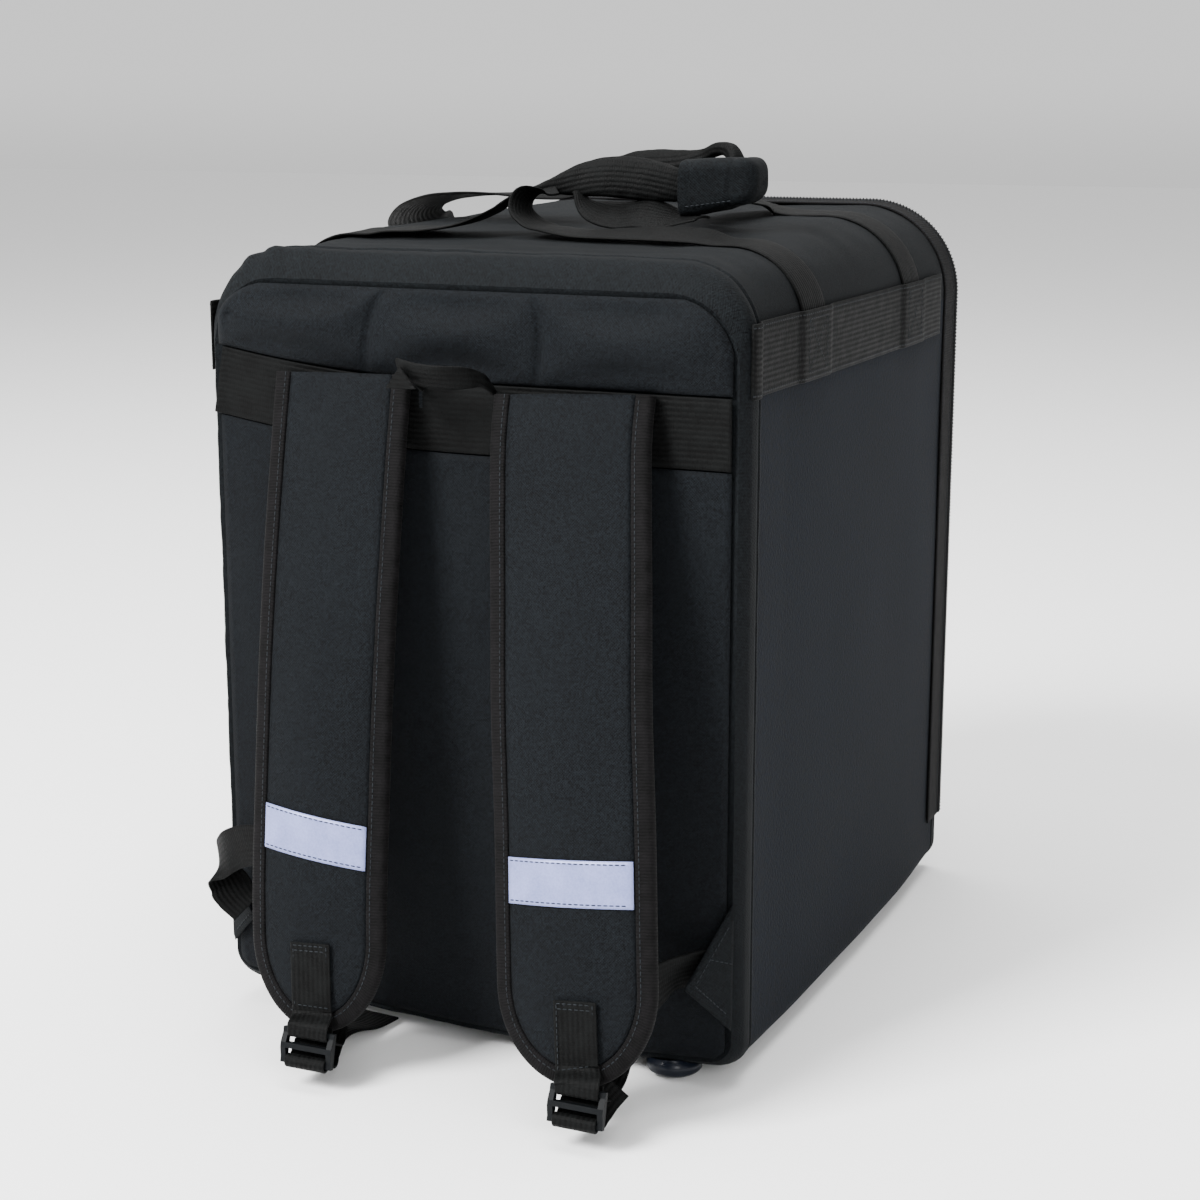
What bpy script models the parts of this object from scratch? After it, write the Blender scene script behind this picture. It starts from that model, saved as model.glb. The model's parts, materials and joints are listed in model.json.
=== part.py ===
"""Insulated delivery backpack: padded tub, zipped front door, straps and handles.

Lengths are millimetres while the shapes are laid out and metres in the scene.
X runs to the right seen from the back panel and is 0 in the middle of the tub. Y runs
from the back panel (0) to the door. Z is up and is 0 at the tub's underside, with the
feet below it. At the end everything is moved so that the origin is the bottom centre
of the bounding box.
"""

from collections import namedtuple
import math

import bpy
import numpy as np

# Body
PANEL_WIDTH = 323.0
BODY_DEPTH = 415.0
SEAM_TOP = 435.0
WALL = 10.0
DOOR_THICKNESS = 14.0
FOOT_HEIGHT = 8.0
BACK_LIFT = 12.0
BACK_LIFT_DEPTH = 45.0
BACK_LOWEST_X = 25.0

# Clearances
GAP = 0.3
STACK = 0.35

# Webbings and tapes
WIDE_WEBBING = 40.0
HANDLE_WEBBING = 38.0
NARROW_WEBBING = 25.0
WEBBING_THICK = 1.4
TAPE_THICK = 0.6

# Back panel
PANEL_HALF = PANEL_WIDTH / 2 - 3.5
WEBBING_LOW = 342.0
WEBBING_RISE = 14.0
PAD_EDGE = 2.0
UPPER_CROWN = 9.0
LOWER_CROWN = 7.0
QUILT_SEAM = PANEL_WIDTH / 6.0

# Side bands
SIDE_BAND_LOW = 380.0
SIDE_BAND_HIGH = SIDE_BAND_LOW + WIDE_WEBBING
SIDE_BAND_NEAR = 5.0
SIDE_BAND_FAR = 370.0
NEAR_HANDLE_Y = 108.0
FAR_HANDLE_Y = 300.0

# Zip
ZIP_TAPE_NEAR = 383.0
ZIP_TAPE_WIDTH = 26.0
ZIP_COIL_WIDTH = 4.6
ZIP_COIL_THICK = 3.0
ZIP_LOW = 34.0

# Straps
STRAP_THICK = 9.0
STRAP_EDGE_THICK = 6.0
BINDING = 10.0
STRAP_END = 54.0
REFLECTIVE_BAND = 25.0
TAB_ON_STRAP = 52.0

# Ladder lock
LOCK_WIDTH = 32.0
LOCK_HEIGHT = 20.0
LOCK_BAR = 3.0
LOCK_TURN = math.hypot(LOCK_BAR / 2, LOCK_BAR / 2) + GAP + WEBBING_THICK / 2 + 0.1

# Feet
FOOT_RADIUS = 16.0
FOOT_X = 122.5
FOOT_BACK_Y = 13.0
FOOT_FRONT_Y = BODY_DEPTH - DOOR_THICKNESS - 22.0

CLOTH_BLACK = (0.010, 0.012, 0.015, 1.0)
FELT_BLUE_BLACK = (0.014, 0.019, 0.025, 1.0)
WEBBING_BLACK = (0.011, 0.011, 0.012, 1.0)
BINDING_BLACK = (0.009, 0.008, 0.008, 1.0)
PLASTIC_BLACK = (0.020, 0.021, 0.024, 1.0)
TAPE_GREY = (0.42, 0.44, 0.62, 1.0)

Section = namedtuple("Section", "y half low high top_radius bottom_radius")
Spot = namedtuple("Spot", "x y z across_x across_y across_z")
Girth = namedtuple("Girth", "x y z height thick lean")
Hang = namedtuple("Hang", "x y z across_z curl")

# The tub from the back panel's seam over the puffed edge roll to the door
SECTIONS = (
    Section(0.0, PANEL_WIDTH / 2, 1.5, SEAM_TOP, 40.0, 14.0),
    Section(3.0, 164.0, -0.3, 440.5, 42.0, 16.0),
    Section(8.0, 166.4, -1.4, 446.5, 44.0, 17.0),
    Section(14.0, 166.8, -1.8, 450.2, 45.0, 17.0),
    Section(19.0, 165.0, -1.2, 450.8, 43.0, 15.0),
    Section(24.0, 163.2, 0.0, 450.4, 42.0, 13.0),
    Section(110.0, 164.4, -0.6, 453.8, 43.0, 12.0),
    Section(210.0, 164.8, -0.8, 457.6, 46.0, 12.0),
    Section(310.0, 164.0, -0.6, 460.6, 52.0, 12.0),
    Section(BODY_DEPTH, 161.2, 0.6, 463.0, 59.0, 13.0),
)

pieces = []


# Small geometry


def unit(vector):
    """Scales a vector, or each row of an array, to length one."""
    vector = np.asarray(vector, float)
    return vector / np.linalg.norm(vector, axis=-1, keepdims=True)


def smooth_rows(rows, count):
    """Smooth curve through the rows of a table as `count` rows, closer where the table is."""
    rows = np.asarray(rows, float)
    steps = np.linalg.norm(np.diff(rows[:, :3], axis=0), axis=1)
    along = np.concatenate([[0.0], np.cumsum(steps)])
    slopes = np.gradient(rows, along, axis=0)
    share = (along / along[-1] + np.linspace(0.0, 1.0, len(along))) / 2
    out = []
    for value in np.interp(np.linspace(0.0, 1.0, count), share, along):
        i = min(int(np.searchsorted(along, value, side="right")) - 1, len(rows) - 2)
        span = along[i + 1] - along[i]
        t = (value - along[i]) / span
        out.append(
            (2 * t**3 - 3 * t**2 + 1) * rows[i]
            + (t**3 - 2 * t**2 + t) * span * slopes[i]
            + (3 * t**2 - 2 * t**3) * rows[i + 1]
            + (t**3 - t**2) * span * slopes[i + 1]
        )
    return np.array(out)


def tangents(centres):
    """Unit direction of travel at each point of a path."""
    return unit(np.gradient(centres, axis=0))


def add_piece(name, points, faces, color, smooth=False):
    """Keeps one closed solid for the final step."""
    pieces.append((name, np.asarray(points, float), faces, color, smooth))


def tube_faces(rings, around):
    """Faces of a solid built from stacked rings, with a flat cap at each end."""
    faces = []
    for i in range(rings - 1):
        for j in range(around):
            k = (j + 1) % around
            faces.append((i * around + j, i * around + k, (i + 1) * around + k, (i + 1) * around + j))
    faces.append(tuple(reversed(range(around))))
    faces.append(tuple((rings - 1) * around + j for j in range(around)))
    return faces


def add_rings(name, rings, color, smooth=False):
    """Solid through a list of equal rings of points, capped at both ends."""
    rings = [np.asarray(ring, float) for ring in rings]
    add_piece(name, np.vstack(rings), tube_faces(len(rings), len(rings[0])), color, smooth)


def ribbon_rings(centres, across, width, thick):
    """Rectangular sections of a band along a path."""
    centres = np.asarray(centres, float)
    run = tangents(centres)
    across = np.asarray(across, float)
    across = unit(across - np.sum(across * run, axis=1)[:, None] * run)
    normal = np.cross(run, across)
    half, flat = across * width / 2, normal * thick / 2
    return [
        np.array([c - a - n, c + a - n, c + a + n, c - a + n])
        for c, a, n in zip(centres, half, flat)
    ]


def add_ribbon(name, centres, across, width, thick, color):
    """A flat band of webbing along a path."""
    add_rings(name, ribbon_rings(centres, across, width, thick), color)


def add_free_ribbon(name, spots, width, thick, count, color):
    """A band whose path and turning are given as a table of Spot rows."""
    rows = smooth_rows(spots, count)
    add_ribbon(name, rows[:, :3], unit(rows[:, 3:]), width, thick, color)


# Outline of the body


def body_section(y, inset=0.0):
    """Width, height and corner radii of the body at depth y, drawn in by `inset`."""
    table = np.array(SECTIONS)
    row = [float(np.interp(y, table[:, 0], table[:, k])) for k in range(6)]
    return Section(
        y,
        row[1] - inset,
        row[2] + inset,
        row[3] - inset,
        max(row[4] - inset, 2.0),
        max(row[5] - inset, 2.0),
    )


def lift_at(x, y):
    """How far the underside climbs towards the two lower back corners."""
    near = max(1 - y / BACK_LIFT_DEPTH, 0.0) ** 2
    return BACK_LIFT * ((x - BACK_LOWEST_X) / (PANEL_WIDTH / 2 + 15)) ** 2 * near


def outline(section, steps=6):
    """Points (x, z) round a section, anticlockwise seen from the back panel."""
    corners = (
        (section.half - section.bottom_radius, section.low + section.bottom_radius, section.bottom_radius, -90),
        (section.half - section.top_radius, section.high - section.top_radius, section.top_radius, 0),
        (section.top_radius - section.half, section.high - section.top_radius, section.top_radius, 90),
        (section.bottom_radius - section.half, section.low + section.bottom_radius, section.bottom_radius, 180),
    )
    points = []
    for x, z, radius, start in corners:
        for i in range(steps + 1):
            angle = math.radians(start + 90 * i / steps)
            points.append((x + radius * math.cos(angle), z + radius * math.sin(angle)))
    reach = section.half - section.bottom_radius
    points += [(reach * part, section.low) for part in (-0.6, -0.2, 0.2, 0.6)]
    climb = section.bottom_radius + 40.0
    return [
        (x, z + lift_at(x, section.y) * max(1 - (z - section.low) / climb, 0.0))
        for x, z in points
    ]


def ring_at(y, inset=0.0):
    """One loop of the body's outline in space."""
    return np.array([(x, y, z) for x, z in outline(body_section(y, inset))])


def edge_path(y, side, from_x, to_z, lift, steps=8):
    """Line at depth y from the top face over the rounded edge and down a side."""
    s = body_section(y)
    path = [(x, s.high + lift) for x in np.linspace(from_x, s.half - s.top_radius, 4)[:-1]]
    for i in range(steps + 1):
        angle = math.radians(90 - 90 * i / steps)
        reach = s.top_radius + lift
        path.append(
            (
                s.half - s.top_radius + reach * math.cos(angle),
                s.high - s.top_radius + reach * math.sin(angle),
            )
        )
    path += [(s.half + lift, z) for z in np.linspace(s.high - s.top_radius, to_z, 4)[1:]]
    return np.array([(side * x, y, z) for x, z in path])


def spots_between(near, far):
    """Spot rows of a band whose two edges are given."""
    return [Spot(*((a + b) / 2), *unit(b - a)) for a, b in zip(near, far)]


def add_fitted_band(name, near, far, thick, color):
    """A band lying on the body, given by its near and far centre edges."""
    spots = np.array(spots_between(near, far))
    width = float(np.mean(np.linalg.norm(far - near, axis=1)))
    add_ribbon(name, spots[:, :3], spots[:, 3:], width, thick, color)


# Body


def build_shell():
    """The padded tub: both sides, top, bottom and back wall, open at the door."""
    front = BODY_DEPTH - DOOR_THICKNESS - GAP
    depths = [section.y for section in SECTIONS[:-1]] + [front]
    rings = [ring_at(y) for y in depths]
    rings += [ring_at(y, WALL) for y in reversed(depths) if y > WALL]
    rings.append(ring_at(WALL, WALL + 4.0))
    add_rings("shell", rings, FELT_BLUE_BLACK)


def build_door():
    """The padded front panel, with softly rounded edges."""
    back = BODY_DEPTH - DOOR_THICKNESS
    plan = ((back, 0.0), (BODY_DEPTH - 5.0, 0.0), (BODY_DEPTH - 2.0, 1.0), (BODY_DEPTH - 0.5, 3.0), (BODY_DEPTH, 6.0))
    rings = [ring_at(y, inset) for y, inset in plan]
    add_rings("front_door", rings, CLOTH_BLACK)


def webbing_low(x):
    """Lower edge of the back webbing, which climbs towards the left seam."""
    return WEBBING_LOW + WEBBING_RISE * (max(-x, 0.0) / PANEL_HALF) ** 2


def pad_half(z):
    """Half width of the back panel's field at height z, inside the edge seam."""
    s = body_section(0.0, PAD_EDGE)
    half = s.half
    if z > s.high - s.top_radius:
        over = min(z - (s.high - s.top_radius), s.top_radius)
        half = s.half - s.top_radius + math.sqrt(s.top_radius**2 - over**2)
    if z < s.low + s.bottom_radius:
        under = min(s.low + s.bottom_radius - z, s.bottom_radius)
        half = s.half - s.bottom_radius + math.sqrt(s.bottom_radius**2 - under**2)
    return min(half, PANEL_HALF)


def crown(u, v, seams):
    """Height of a padded field, 0 at its edges: u and v run from -1 to 1."""
    body = (1 - abs(v) ** 3) * (1 - abs(u) ** 6)
    for seam in seams:
        body *= 1 - 0.75 * math.exp(-(((u - seam) / 0.035) ** 2))
    return max(body, 0.0)


def add_pad(name, low, high, height, columns, rows, seams):
    """A padded field on the back panel between two edges given as functions of x."""
    front, back = [], []
    for v in rows:
        level = low(0.0) + (high(0.0) - low(0.0)) * (v + 1) / 2
        half = pad_half(level)
        for u in columns:
            x = u * half
            z = low(x) + (high(x) - low(x)) * (v + 1) / 2
            front.append((x, -GAP - PAD_EDGE - height * crown(u, v, seams), z))
            back.append((x, -GAP, z))
    n, m = len(rows), len(columns)
    size = n * m
    faces = []
    for i in range(n - 1):
        for j in range(m - 1):
            a, b, c, d = i * m + j, i * m + j + 1, (i + 1) * m + j + 1, (i + 1) * m + j
            faces.append((a, b, c, d))
            faces.append((size + d, size + c, size + b, size + a))
    rim = [j for j in range(m)]
    rim += [i * m + m - 1 for i in range(1, n)]
    rim += [(n - 1) * m + j for j in range(m - 2, -1, -1)]
    rim += [i * m for i in range(n - 2, 0, -1)]
    for a, b in zip(rim, rim[1:] + rim[:1]):
        faces.append((b, a, size + a, size + b))
    add_piece(name, front + back, faces, CLOTH_BLACK)


def build_back_panel():
    """Two padded fields with the webbing band between them."""
    seam = QUILT_SEAM / PANEL_HALF
    edges = [-1.0, -0.9, -0.7, -0.5]
    beside = [-seam - 0.06, -seam, -seam + 0.06]
    columns = sorted(edges + beside + [-0.15, 0.15] + [-u for u in edges + beside])
    add_pad(
        "back_pad_upper",
        lambda x: webbing_low(x) + WIDE_WEBBING + GAP,
        lambda x: SEAM_TOP - PAD_EDGE - 1.0,
        UPPER_CROWN,
        columns,
        (-1.0, -0.8, -0.35, 0.1, 0.5, 0.8, 1.0),
        (-seam, seam),
    )
    add_pad(
        "back_pad_lower",
        lambda x: PAD_EDGE + 2.5 + lift_at(x, 0.0),
        lambda x: webbing_low(x) - GAP,
        LOWER_CROWN,
        (-1.0, -0.95, -0.8, -0.6, -0.4, -0.2, 0.0, 0.5, 0.8, 0.95, 1.0),
        (-1.0, -0.97, -0.92, -0.75, -0.4, 0.0, 0.4, 0.75, 0.95, 1.0),
        (),
    )
    y = -GAP - WEBBING_THICK / 2
    places = np.linspace(-PANEL_HALF, PANEL_HALF, 13)
    centres = [(x, y, webbing_low(x) + WIDE_WEBBING / 2) for x in places]
    across = [(0, 0, 1)] * len(centres)
    add_ribbon("back_webbing", centres, across, WIDE_WEBBING - 4 * GAP, WEBBING_THICK, WEBBING_BLACK)


def build_side_bands():
    """The 40 mm bands on both sides, lifted where a handle webbing passes under."""
    z = (SIDE_BAND_LOW + SIDE_BAND_HIGH) / 2
    reach = HANDLE_WEBBING / 2
    flat = GAP + 0.2 + WEBBING_THICK / 2
    lifted = flat + STACK + WEBBING_THICK
    stations = [(y, flat) for y in (SIDE_BAND_NEAR, 8.0, 14.0, 19.0, 24.0)]
    for centre in (NEAR_HANDLE_Y, FAR_HANDLE_Y):
        stations += [
            (centre - reach - 10, flat),
            (centre - reach - 2, lifted),
            (centre + reach + 2, lifted),
            (centre + reach + 10, flat),
        ]
    stations.append((SIDE_BAND_FAR, flat))
    for side, label in ((-1, "left"), (1, "right")):
        centres = [(side * (body_section(y).half + lift), y, z) for y, lift in stations]
        add_ribbon(
            "side_webbing_" + label,
            centres,
            [(0, 0, 1)] * len(centres),
            WIDE_WEBBING,
            WEBBING_THICK,
            WEBBING_BLACK,
        )


# Zip


def zip_path(y, lift):
    """Line round left side, top and right side at depth y, open at the bottom."""
    section = body_section(y, -lift)
    corner = section.high - section.top_radius
    keep = [(x, z) for x, z in outline(section, 9) if z > corner - 0.5]
    sides = (ZIP_LOW, 150.0, 280.0)
    path = [(section.half, z) for z in sides] + keep
    path += [(-section.half, z) for z in reversed(sides)]
    return np.array([(x, y, z) for x, z in path])


def build_zip():
    """Tape, coil and one plain slider round the front edge."""
    lift = GAP + 0.2 + WEBBING_THICK / 2
    near = zip_path(ZIP_TAPE_NEAR, lift)
    far = zip_path(ZIP_TAPE_NEAR + ZIP_TAPE_WIDTH, lift)
    add_fitted_band("zip_tape", near, far, WEBBING_THICK, CLOTH_BLACK)
    y = BODY_DEPTH - ZIP_COIL_WIDTH / 2 - 0.9
    path = zip_path(y, GAP + 0.2 + ZIP_COIL_THICK / 2)
    add_ribbon("zip_coil", path, [(0, 1, 0)] * len(path), ZIP_COIL_WIDTH, ZIP_COIL_THICK, PLASTIC_BLACK)
    x = -(body_section(y).half + GAP + 2.7)
    centres = [(x, y, z) for z in (ZIP_LOW - 0.5, ZIP_LOW - 9.5)]
    add_ribbon("zip_slider", centres, [(0, 1, 0)] * 2, 7.0, 5.0, PLASTIC_BLACK)


# Handles


def side_run(y, side, from_x):
    """Spots of a handle webbing from under the side band up and over the top edge."""
    lift = GAP + 0.2 + WEBBING_THICK / 2
    reach = HANDLE_WEBBING / 2
    edges = [edge_path(y + d, side, from_x, SIDE_BAND_LOW + 2, lift) for d in (-reach, reach)]
    return spots_between(*edges)[::-1]


HANDLE_NEAR_LEFT_FREE = (
    Spot(-100.0, 108.0, 456.5, 0, 1, 0.03),
    Spot(-76.0, 109.0, 457.5, 0, 1, 0.02),
    Spot(-55.0, 113.0, 461.5, 0, 1, 0.05),
    Spot(-40.0, 120.0, 468.5, 0, 1, 0.10),
    Spot(-29.0, 128.0, 477.0, 0, 1, 0.15),
    Spot(-25.4, 134.5, 479.4, 0, 1, 0.18),
)

HANDLE_NEAR_RIGHT_FREE = (
    Spot(98.0, 108.0, 457.5, 0, 1, 0.12),
    Spot(72.0, 109.0, 458.5, 0, 1, 0.14),
    Spot(45.0, 110.0, 458.0, 0, 1, 0.10),
    Spot(19.0, 113.0, 457.5, 0, 1, 0.04),
    Spot(2.0, 119.0, 459.5, 0, 1, 0),
    Spot(-8.0, 126.0, 464.5, 0, 1, 0),
    Spot(-9.8, 128.5, 467.0, 0, 1, 0),
)

HANDLE_FAR_LEFT_FREE = (
    Spot(-165.1, 300.0, 417.0, 0.0, 1, 0.0),
    Spot(-165.2, 299.5, 425.0, 0.0, 1, 0.0),
    Spot(-166.0, 294.0, 435.0, 0.1, 1, 0.1),
    Spot(-166.5, 277.0, 444.0, 0.4, 1, 0.25),
    Spot(-163.5, 252.0, 451.0, 0.6, 1, 0.2),
    Spot(-156.0, 233.0, 458.5, 0.4, 1, 0.0),
    Spot(-144.0, 222.0, 465.5, 0.2, 1, -0.08),
    Spot(-128.0, 217.0, 470.5, 0.05, 1, -0.1),
    Spot(-108.0, 214.5, 473.0, 0.0, 1, -0.08),
    Spot(-86.0, 212.0, 474.0, 0.0, 1, -0.05),
    Spot(-58.0, 207.0, 475.5, 0.1, 1, 0.1),
    Spot(-28.0, 200.0, 480.5, 0.2, 1, 0.5),
    Spot(-8.0, 197.0, 486.0, 0.1, 1, 0.9),
    Spot(4.3, 196.0, 490.5, 0.0, 1, 1.0),
)

HANDLE_FAR_RIGHT_FREE = (
    Spot(69.0, 297.0, 465.0, -0.1, 1, 0.0),
    Spot(63.0, 290.0, 468.0, -0.25, 1, 0.0),
    Spot(57.0, 278.0, 470.5, -0.4, 1, 0.0),
    Spot(53.0, 262.0, 472.5, -0.5, 1, 0.03),
    Spot(51.0, 242.0, 473.5, -0.8, 1, 0.0),
    Spot(54.0, 224.0, 472.6, -1.0, -0.4, 0.0),
    Spot(61.0, 210.5, 471.6, -0.8, -0.75, 0.0),
)

HANDLE_FOLD_PATH = (
    Spot(80.0, 152.0, 465.4, 0, 1, 0.0),
    Spot(67.0, 151.0, 464.1, 0, 1, 0.0),
    Spot(52.0, 150.0, 463.3, 0, 1, 0.14),
    Spot(38.0, 150.0, 463.0, 0.0, 1, 0.18),
    Spot(25.0, 150.0, 463.2, 0.0, 1, 0.15),
    Spot(13.0, 149.0, 465.5, 0.0, 1, 0.1),
    Spot(3.0, 148.0, 469.5, 0.0, 1, 0.1),
)

GRIP_NEAR_PATH = (
    Girth(-24.0, 138.5, 480.6, 3.0, 5.0, 0.30),
    Girth(-13.0, 147.5, 482.5, 11.0, 6.5, 0.30),
    Girth(0.0, 154.0, 485.5, 20.0, 8.0, 0.28),
    Girth(18.0, 158.0, 487.5, 25.0, 9.5, 0.25),
    Girth(36.0, 161.0, 486.5, 26.0, 10.0, 0.20),
    Girth(54.0, 163.0, 484.0, 22.0, 10.0, 0.10),
    Girth(64.0, 164.0, 482.3, 18.0, 9.0, 0.05),
    Girth(76.0, 164.5, 482.6, 25.5, 10.0, 0.0),
    Girth(90.0, 164.5, 484.0, 25.9, 10.0, 0.0),
    Girth(105.0, 164.5, 485.5, 25.9, 10.0, 0.0),
)

GRIP_FAR_PATH = (
    Girth(5.0, 196.0, 492.0, 12.0, 7.0, 0.30),
    Girth(20.0, 196.0, 494.0, 17.0, 9.0, 0.30),
    Girth(38.0, 196.0, 494.5, 18.0, 10.0, 0.28),
    Girth(53.0, 196.0, 496.5, 14.0, 9.0, 0.25),
    Girth(65.0, 195.0, 500.5, 8.0, 7.0, 0.2),
    Girth(74.0, 192.0, 504.0, 8.0, 8.0, 0.15),
    Girth(83.0, 189.0, 503.0, 9.0, 9.0, 0.1),
    Girth(88.5, 186.0, 495.0, 9.0, 10.0, 0.0),
    Girth(89.0, 186.3, 484.0, 9.0, 10.0, 0.0),
    Girth(82.0, 193.0, 473.5, 9.0, 9.0, 0.0),
    Girth(71.0, 201.0, 471.0, 7.0, 14.0, 0.0),
    Girth(63.6, 208.4, 471.6, 3.0, 18.0, 0.0),
)

WRAP_LEFT = 66.0
WRAP_RIGHT = 113.0
WRAP_HALF_Y = 15.5
WRAP_HALF_Z = 16.5
WRAP_WALL = 3.0
WRAP_Y = 164.5
WRAP_LEAN = 0.10


def add_grip(name, girths, count, color, around=10):
    """A folded, flattened grip through a table of Girth rows."""
    rows = smooth_rows(girths, count)
    run = tangents(rows[:, :3])
    rings = []
    for (x, y, z, height, thick, lean), t in zip(rows, run):
        up = np.array([0.0, lean, 1.0])
        up = unit(up - np.dot(up, t) * t)
        side = np.cross(t, up)
        ring = []
        for k in range(around):
            angle = 2 * math.pi * k / around
            c, s = math.cos(angle), math.sin(angle)
            flat = 1 / (abs(c) ** 2.6 + abs(s) ** 2.6) ** (1 / 2.6)
            ring.append(np.array([x, y, z]) + side * flat * c * thick / 2 + up * flat * s * height / 2)
        rings.append(ring)
    add_rings(name, rings, color, True)


def build_handles():
    """Two carrying handles gathered in one wrap, as they lie in the photo."""
    spots = side_run(NEAR_HANDLE_Y, -1, 112.0) + list(HANDLE_NEAR_LEFT_FREE)
    add_free_ribbon("handle_near_left", spots, HANDLE_WEBBING, WEBBING_THICK, 40, WEBBING_BLACK)
    spots = side_run(NEAR_HANDLE_Y, 1, 112.0) + list(HANDLE_NEAR_RIGHT_FREE)
    add_free_ribbon("handle_near_right", spots, HANDLE_WEBBING, WEBBING_THICK, 48, WEBBING_BLACK)
    spots = side_run(FAR_HANDLE_Y, -1, 112.0)[:3] + list(HANDLE_FAR_LEFT_FREE)
    add_free_ribbon("handle_far_left", spots, HANDLE_WEBBING, WEBBING_THICK, 40, WEBBING_BLACK)
    spots = side_run(FAR_HANDLE_Y, 1, 76.0)[:-1] + list(HANDLE_FAR_RIGHT_FREE)
    add_free_ribbon("handle_far_right", spots, HANDLE_WEBBING, WEBBING_THICK, 40, WEBBING_BLACK)
    add_free_ribbon("handle_fold", HANDLE_FOLD_PATH, HANDLE_WEBBING - 8, WEBBING_THICK, 18, WEBBING_BLACK)
    add_grip("handle_grip_near", GRIP_NEAR_PATH, 20, WEBBING_BLACK)
    add_grip("handle_grip_far", GRIP_FAR_PATH, 22, WEBBING_BLACK)
    build_wrap()


def wrap_ring(x, half_y, half_z, around=16):
    """One section of the wrap, a rounded box, at width x."""
    z = 484.0 + WRAP_LEAN * (x - (WRAP_LEFT + WRAP_RIGHT) / 2)
    ring = []
    for k in range(around):
        angle = 2 * math.pi * (k + 0.5) / around
        c, s = math.cos(angle), math.sin(angle)
        flat = 1 / (abs(c) ** 6 + abs(s) ** 6) ** (1 / 6)
        ring.append((x, WRAP_Y + flat * c * half_y, z + flat * s * half_z))
    return ring


def build_wrap():
    """Cloth flap folded round the grips: a short pocket, open to the left."""
    hollow = (WRAP_HALF_Y - WRAP_WALL, WRAP_HALF_Z - WRAP_WALL)
    rings = [wrap_ring(x, *hollow) for x in np.linspace(WRAP_RIGHT - WRAP_WALL, WRAP_LEFT, 4)]
    rings += [wrap_ring(x, WRAP_HALF_Y, WRAP_HALF_Z) for x in np.linspace(WRAP_LEFT, WRAP_RIGHT - 3.0, 4)]
    rings.append(wrap_ring(WRAP_RIGHT - 0.8, WRAP_HALF_Y - 0.7, WRAP_HALF_Z - 0.7))
    rings.append(wrap_ring(WRAP_RIGHT, WRAP_HALF_Y - 2.4, WRAP_HALF_Z - 2.4))
    add_rings("handle_wrap", rings, CLOTH_BLACK, True)


GRAB_LOOP_PATH = (
    Girth(-24.0, -3.8, 377.5, 4.0, 2.2, 0.0),
    Girth(-25.5, -10.0, 382.5, 5.0, 2.4, -0.1),
    Girth(-29.5, -17.5, 388.5, 8.0, 2.6, -0.3),
    Girth(-26.0, -25.0, 390.5, 13.0, 2.8, -0.5),
    Girth(-12.0, -30.0, 388.5, 16.0, 3.0, -0.6),
    Girth(3.0, -29.0, 387.5, 16.0, 3.0, -0.6),
    Girth(12.5, -23.0, 387.0, 13.0, 2.8, -0.4),
    Girth(18.0, -15.0, 385.5, 8.0, 2.6, -0.3),
    Girth(20.0, -9.0, 381.5, 5.0, 2.4, -0.1),
    Girth(20.3, -3.8, 377.5, 4.0, 2.2, 0.0),
)


# Shoulder straps

STRAP_RIGHT = (
    Hang(69.5, -6.6, 379.0, 0.00, 0.0),
    Hang(70.5, -13.0, 361.0, 0.02, 1.0),
    Hang(74.5, -23.5, 322.0, 0.03, 2.0),
    Hang(80.0, -35.0, 279.0, 0.05, 3.0),
    Hang(86.0, -48.0, 222.0, 0.06, 4.0),
    Hang(94.0, -61.0, 150.0, 0.05, 5.0),
    Hang(100.0, -72.0, 89.0, 0.05, 5.0),
    Hang(104.0, -79.0, 48.0, 0.05, 4.0),
    Hang(106.5, -83.0, 20.0, 0.04, 3.0),
)

STRAP_LEFT = (
    Hang(-71.5, -8.5, 384.0, -0.05, 0.0),
    Hang(-71.0, -13.0, 366.0, -0.05, 1.0),
    Hang(-69.5, -23.0, 327.0, -0.06, 2.0),
    Hang(-67.5, -34.0, 283.0, -0.10, 3.0),
    Hang(-66.0, -45.0, 225.0, -0.14, 4.5),
    Hang(-64.5, -56.0, 150.0, -0.18, 5.5),
    Hang(-62.0, -66.0, 89.0, -0.15, 5.0),
    Hang(-59.0, -72.0, 48.0, -0.08, 4.0),
    Hang(-57.5, -75.0, 20.0, 0.0, 3.0),
)

StrapSize = namedtuple("StrapSize", "label table half tape_from_top tape_slope")


class StrapSurface:
    """Place of any point of a strap, from its distance down and across it."""

    def __init__(self, table, half):
        self.half = half
        self.rows = smooth_rows(table, 60)
        self.run = tangents(self.rows[:, :3])
        steps = np.linalg.norm(np.diff(self.rows[:, :3], axis=0), axis=1)
        self.along = np.concatenate([[0.0], np.cumsum(steps)])
        self.length = self.along[-1]

    def half_at(self, down, inset=0.0):
        """Half width at a distance down the strap, drawn in by `inset`."""
        end = self.length - inset
        curve = STRAP_END - inset
        half = self.half - inset
        left = max(end - down, 0.0)
        if left >= curve:
            return half
        return half * math.sqrt(max(1 - (1 - left / curve) ** 2, 0.0))

    def at(self, down, across, lift):
        """Point `down` along, `across` to the right and `lift` out of the strap."""
        row = [np.interp(down, self.along, self.rows[:, k]) for k in range(5)]
        t = unit([np.interp(down, self.along, self.run[:, k]) for k in range(3)])
        if down > self.length:
            row[:3] = np.array(row[:3]) + t * (down - self.length)
        side = np.array([1.0, 0.0, row[3]])
        side = unit(side - np.dot(side, t) * t)
        out = np.cross(side, t)
        out = out if out[1] < 0 else -out
        curl = row[4] * (1 - (across / self.half) ** 2)
        return np.array(row[:3]) + side * across + out * (lift + curl)


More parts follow.
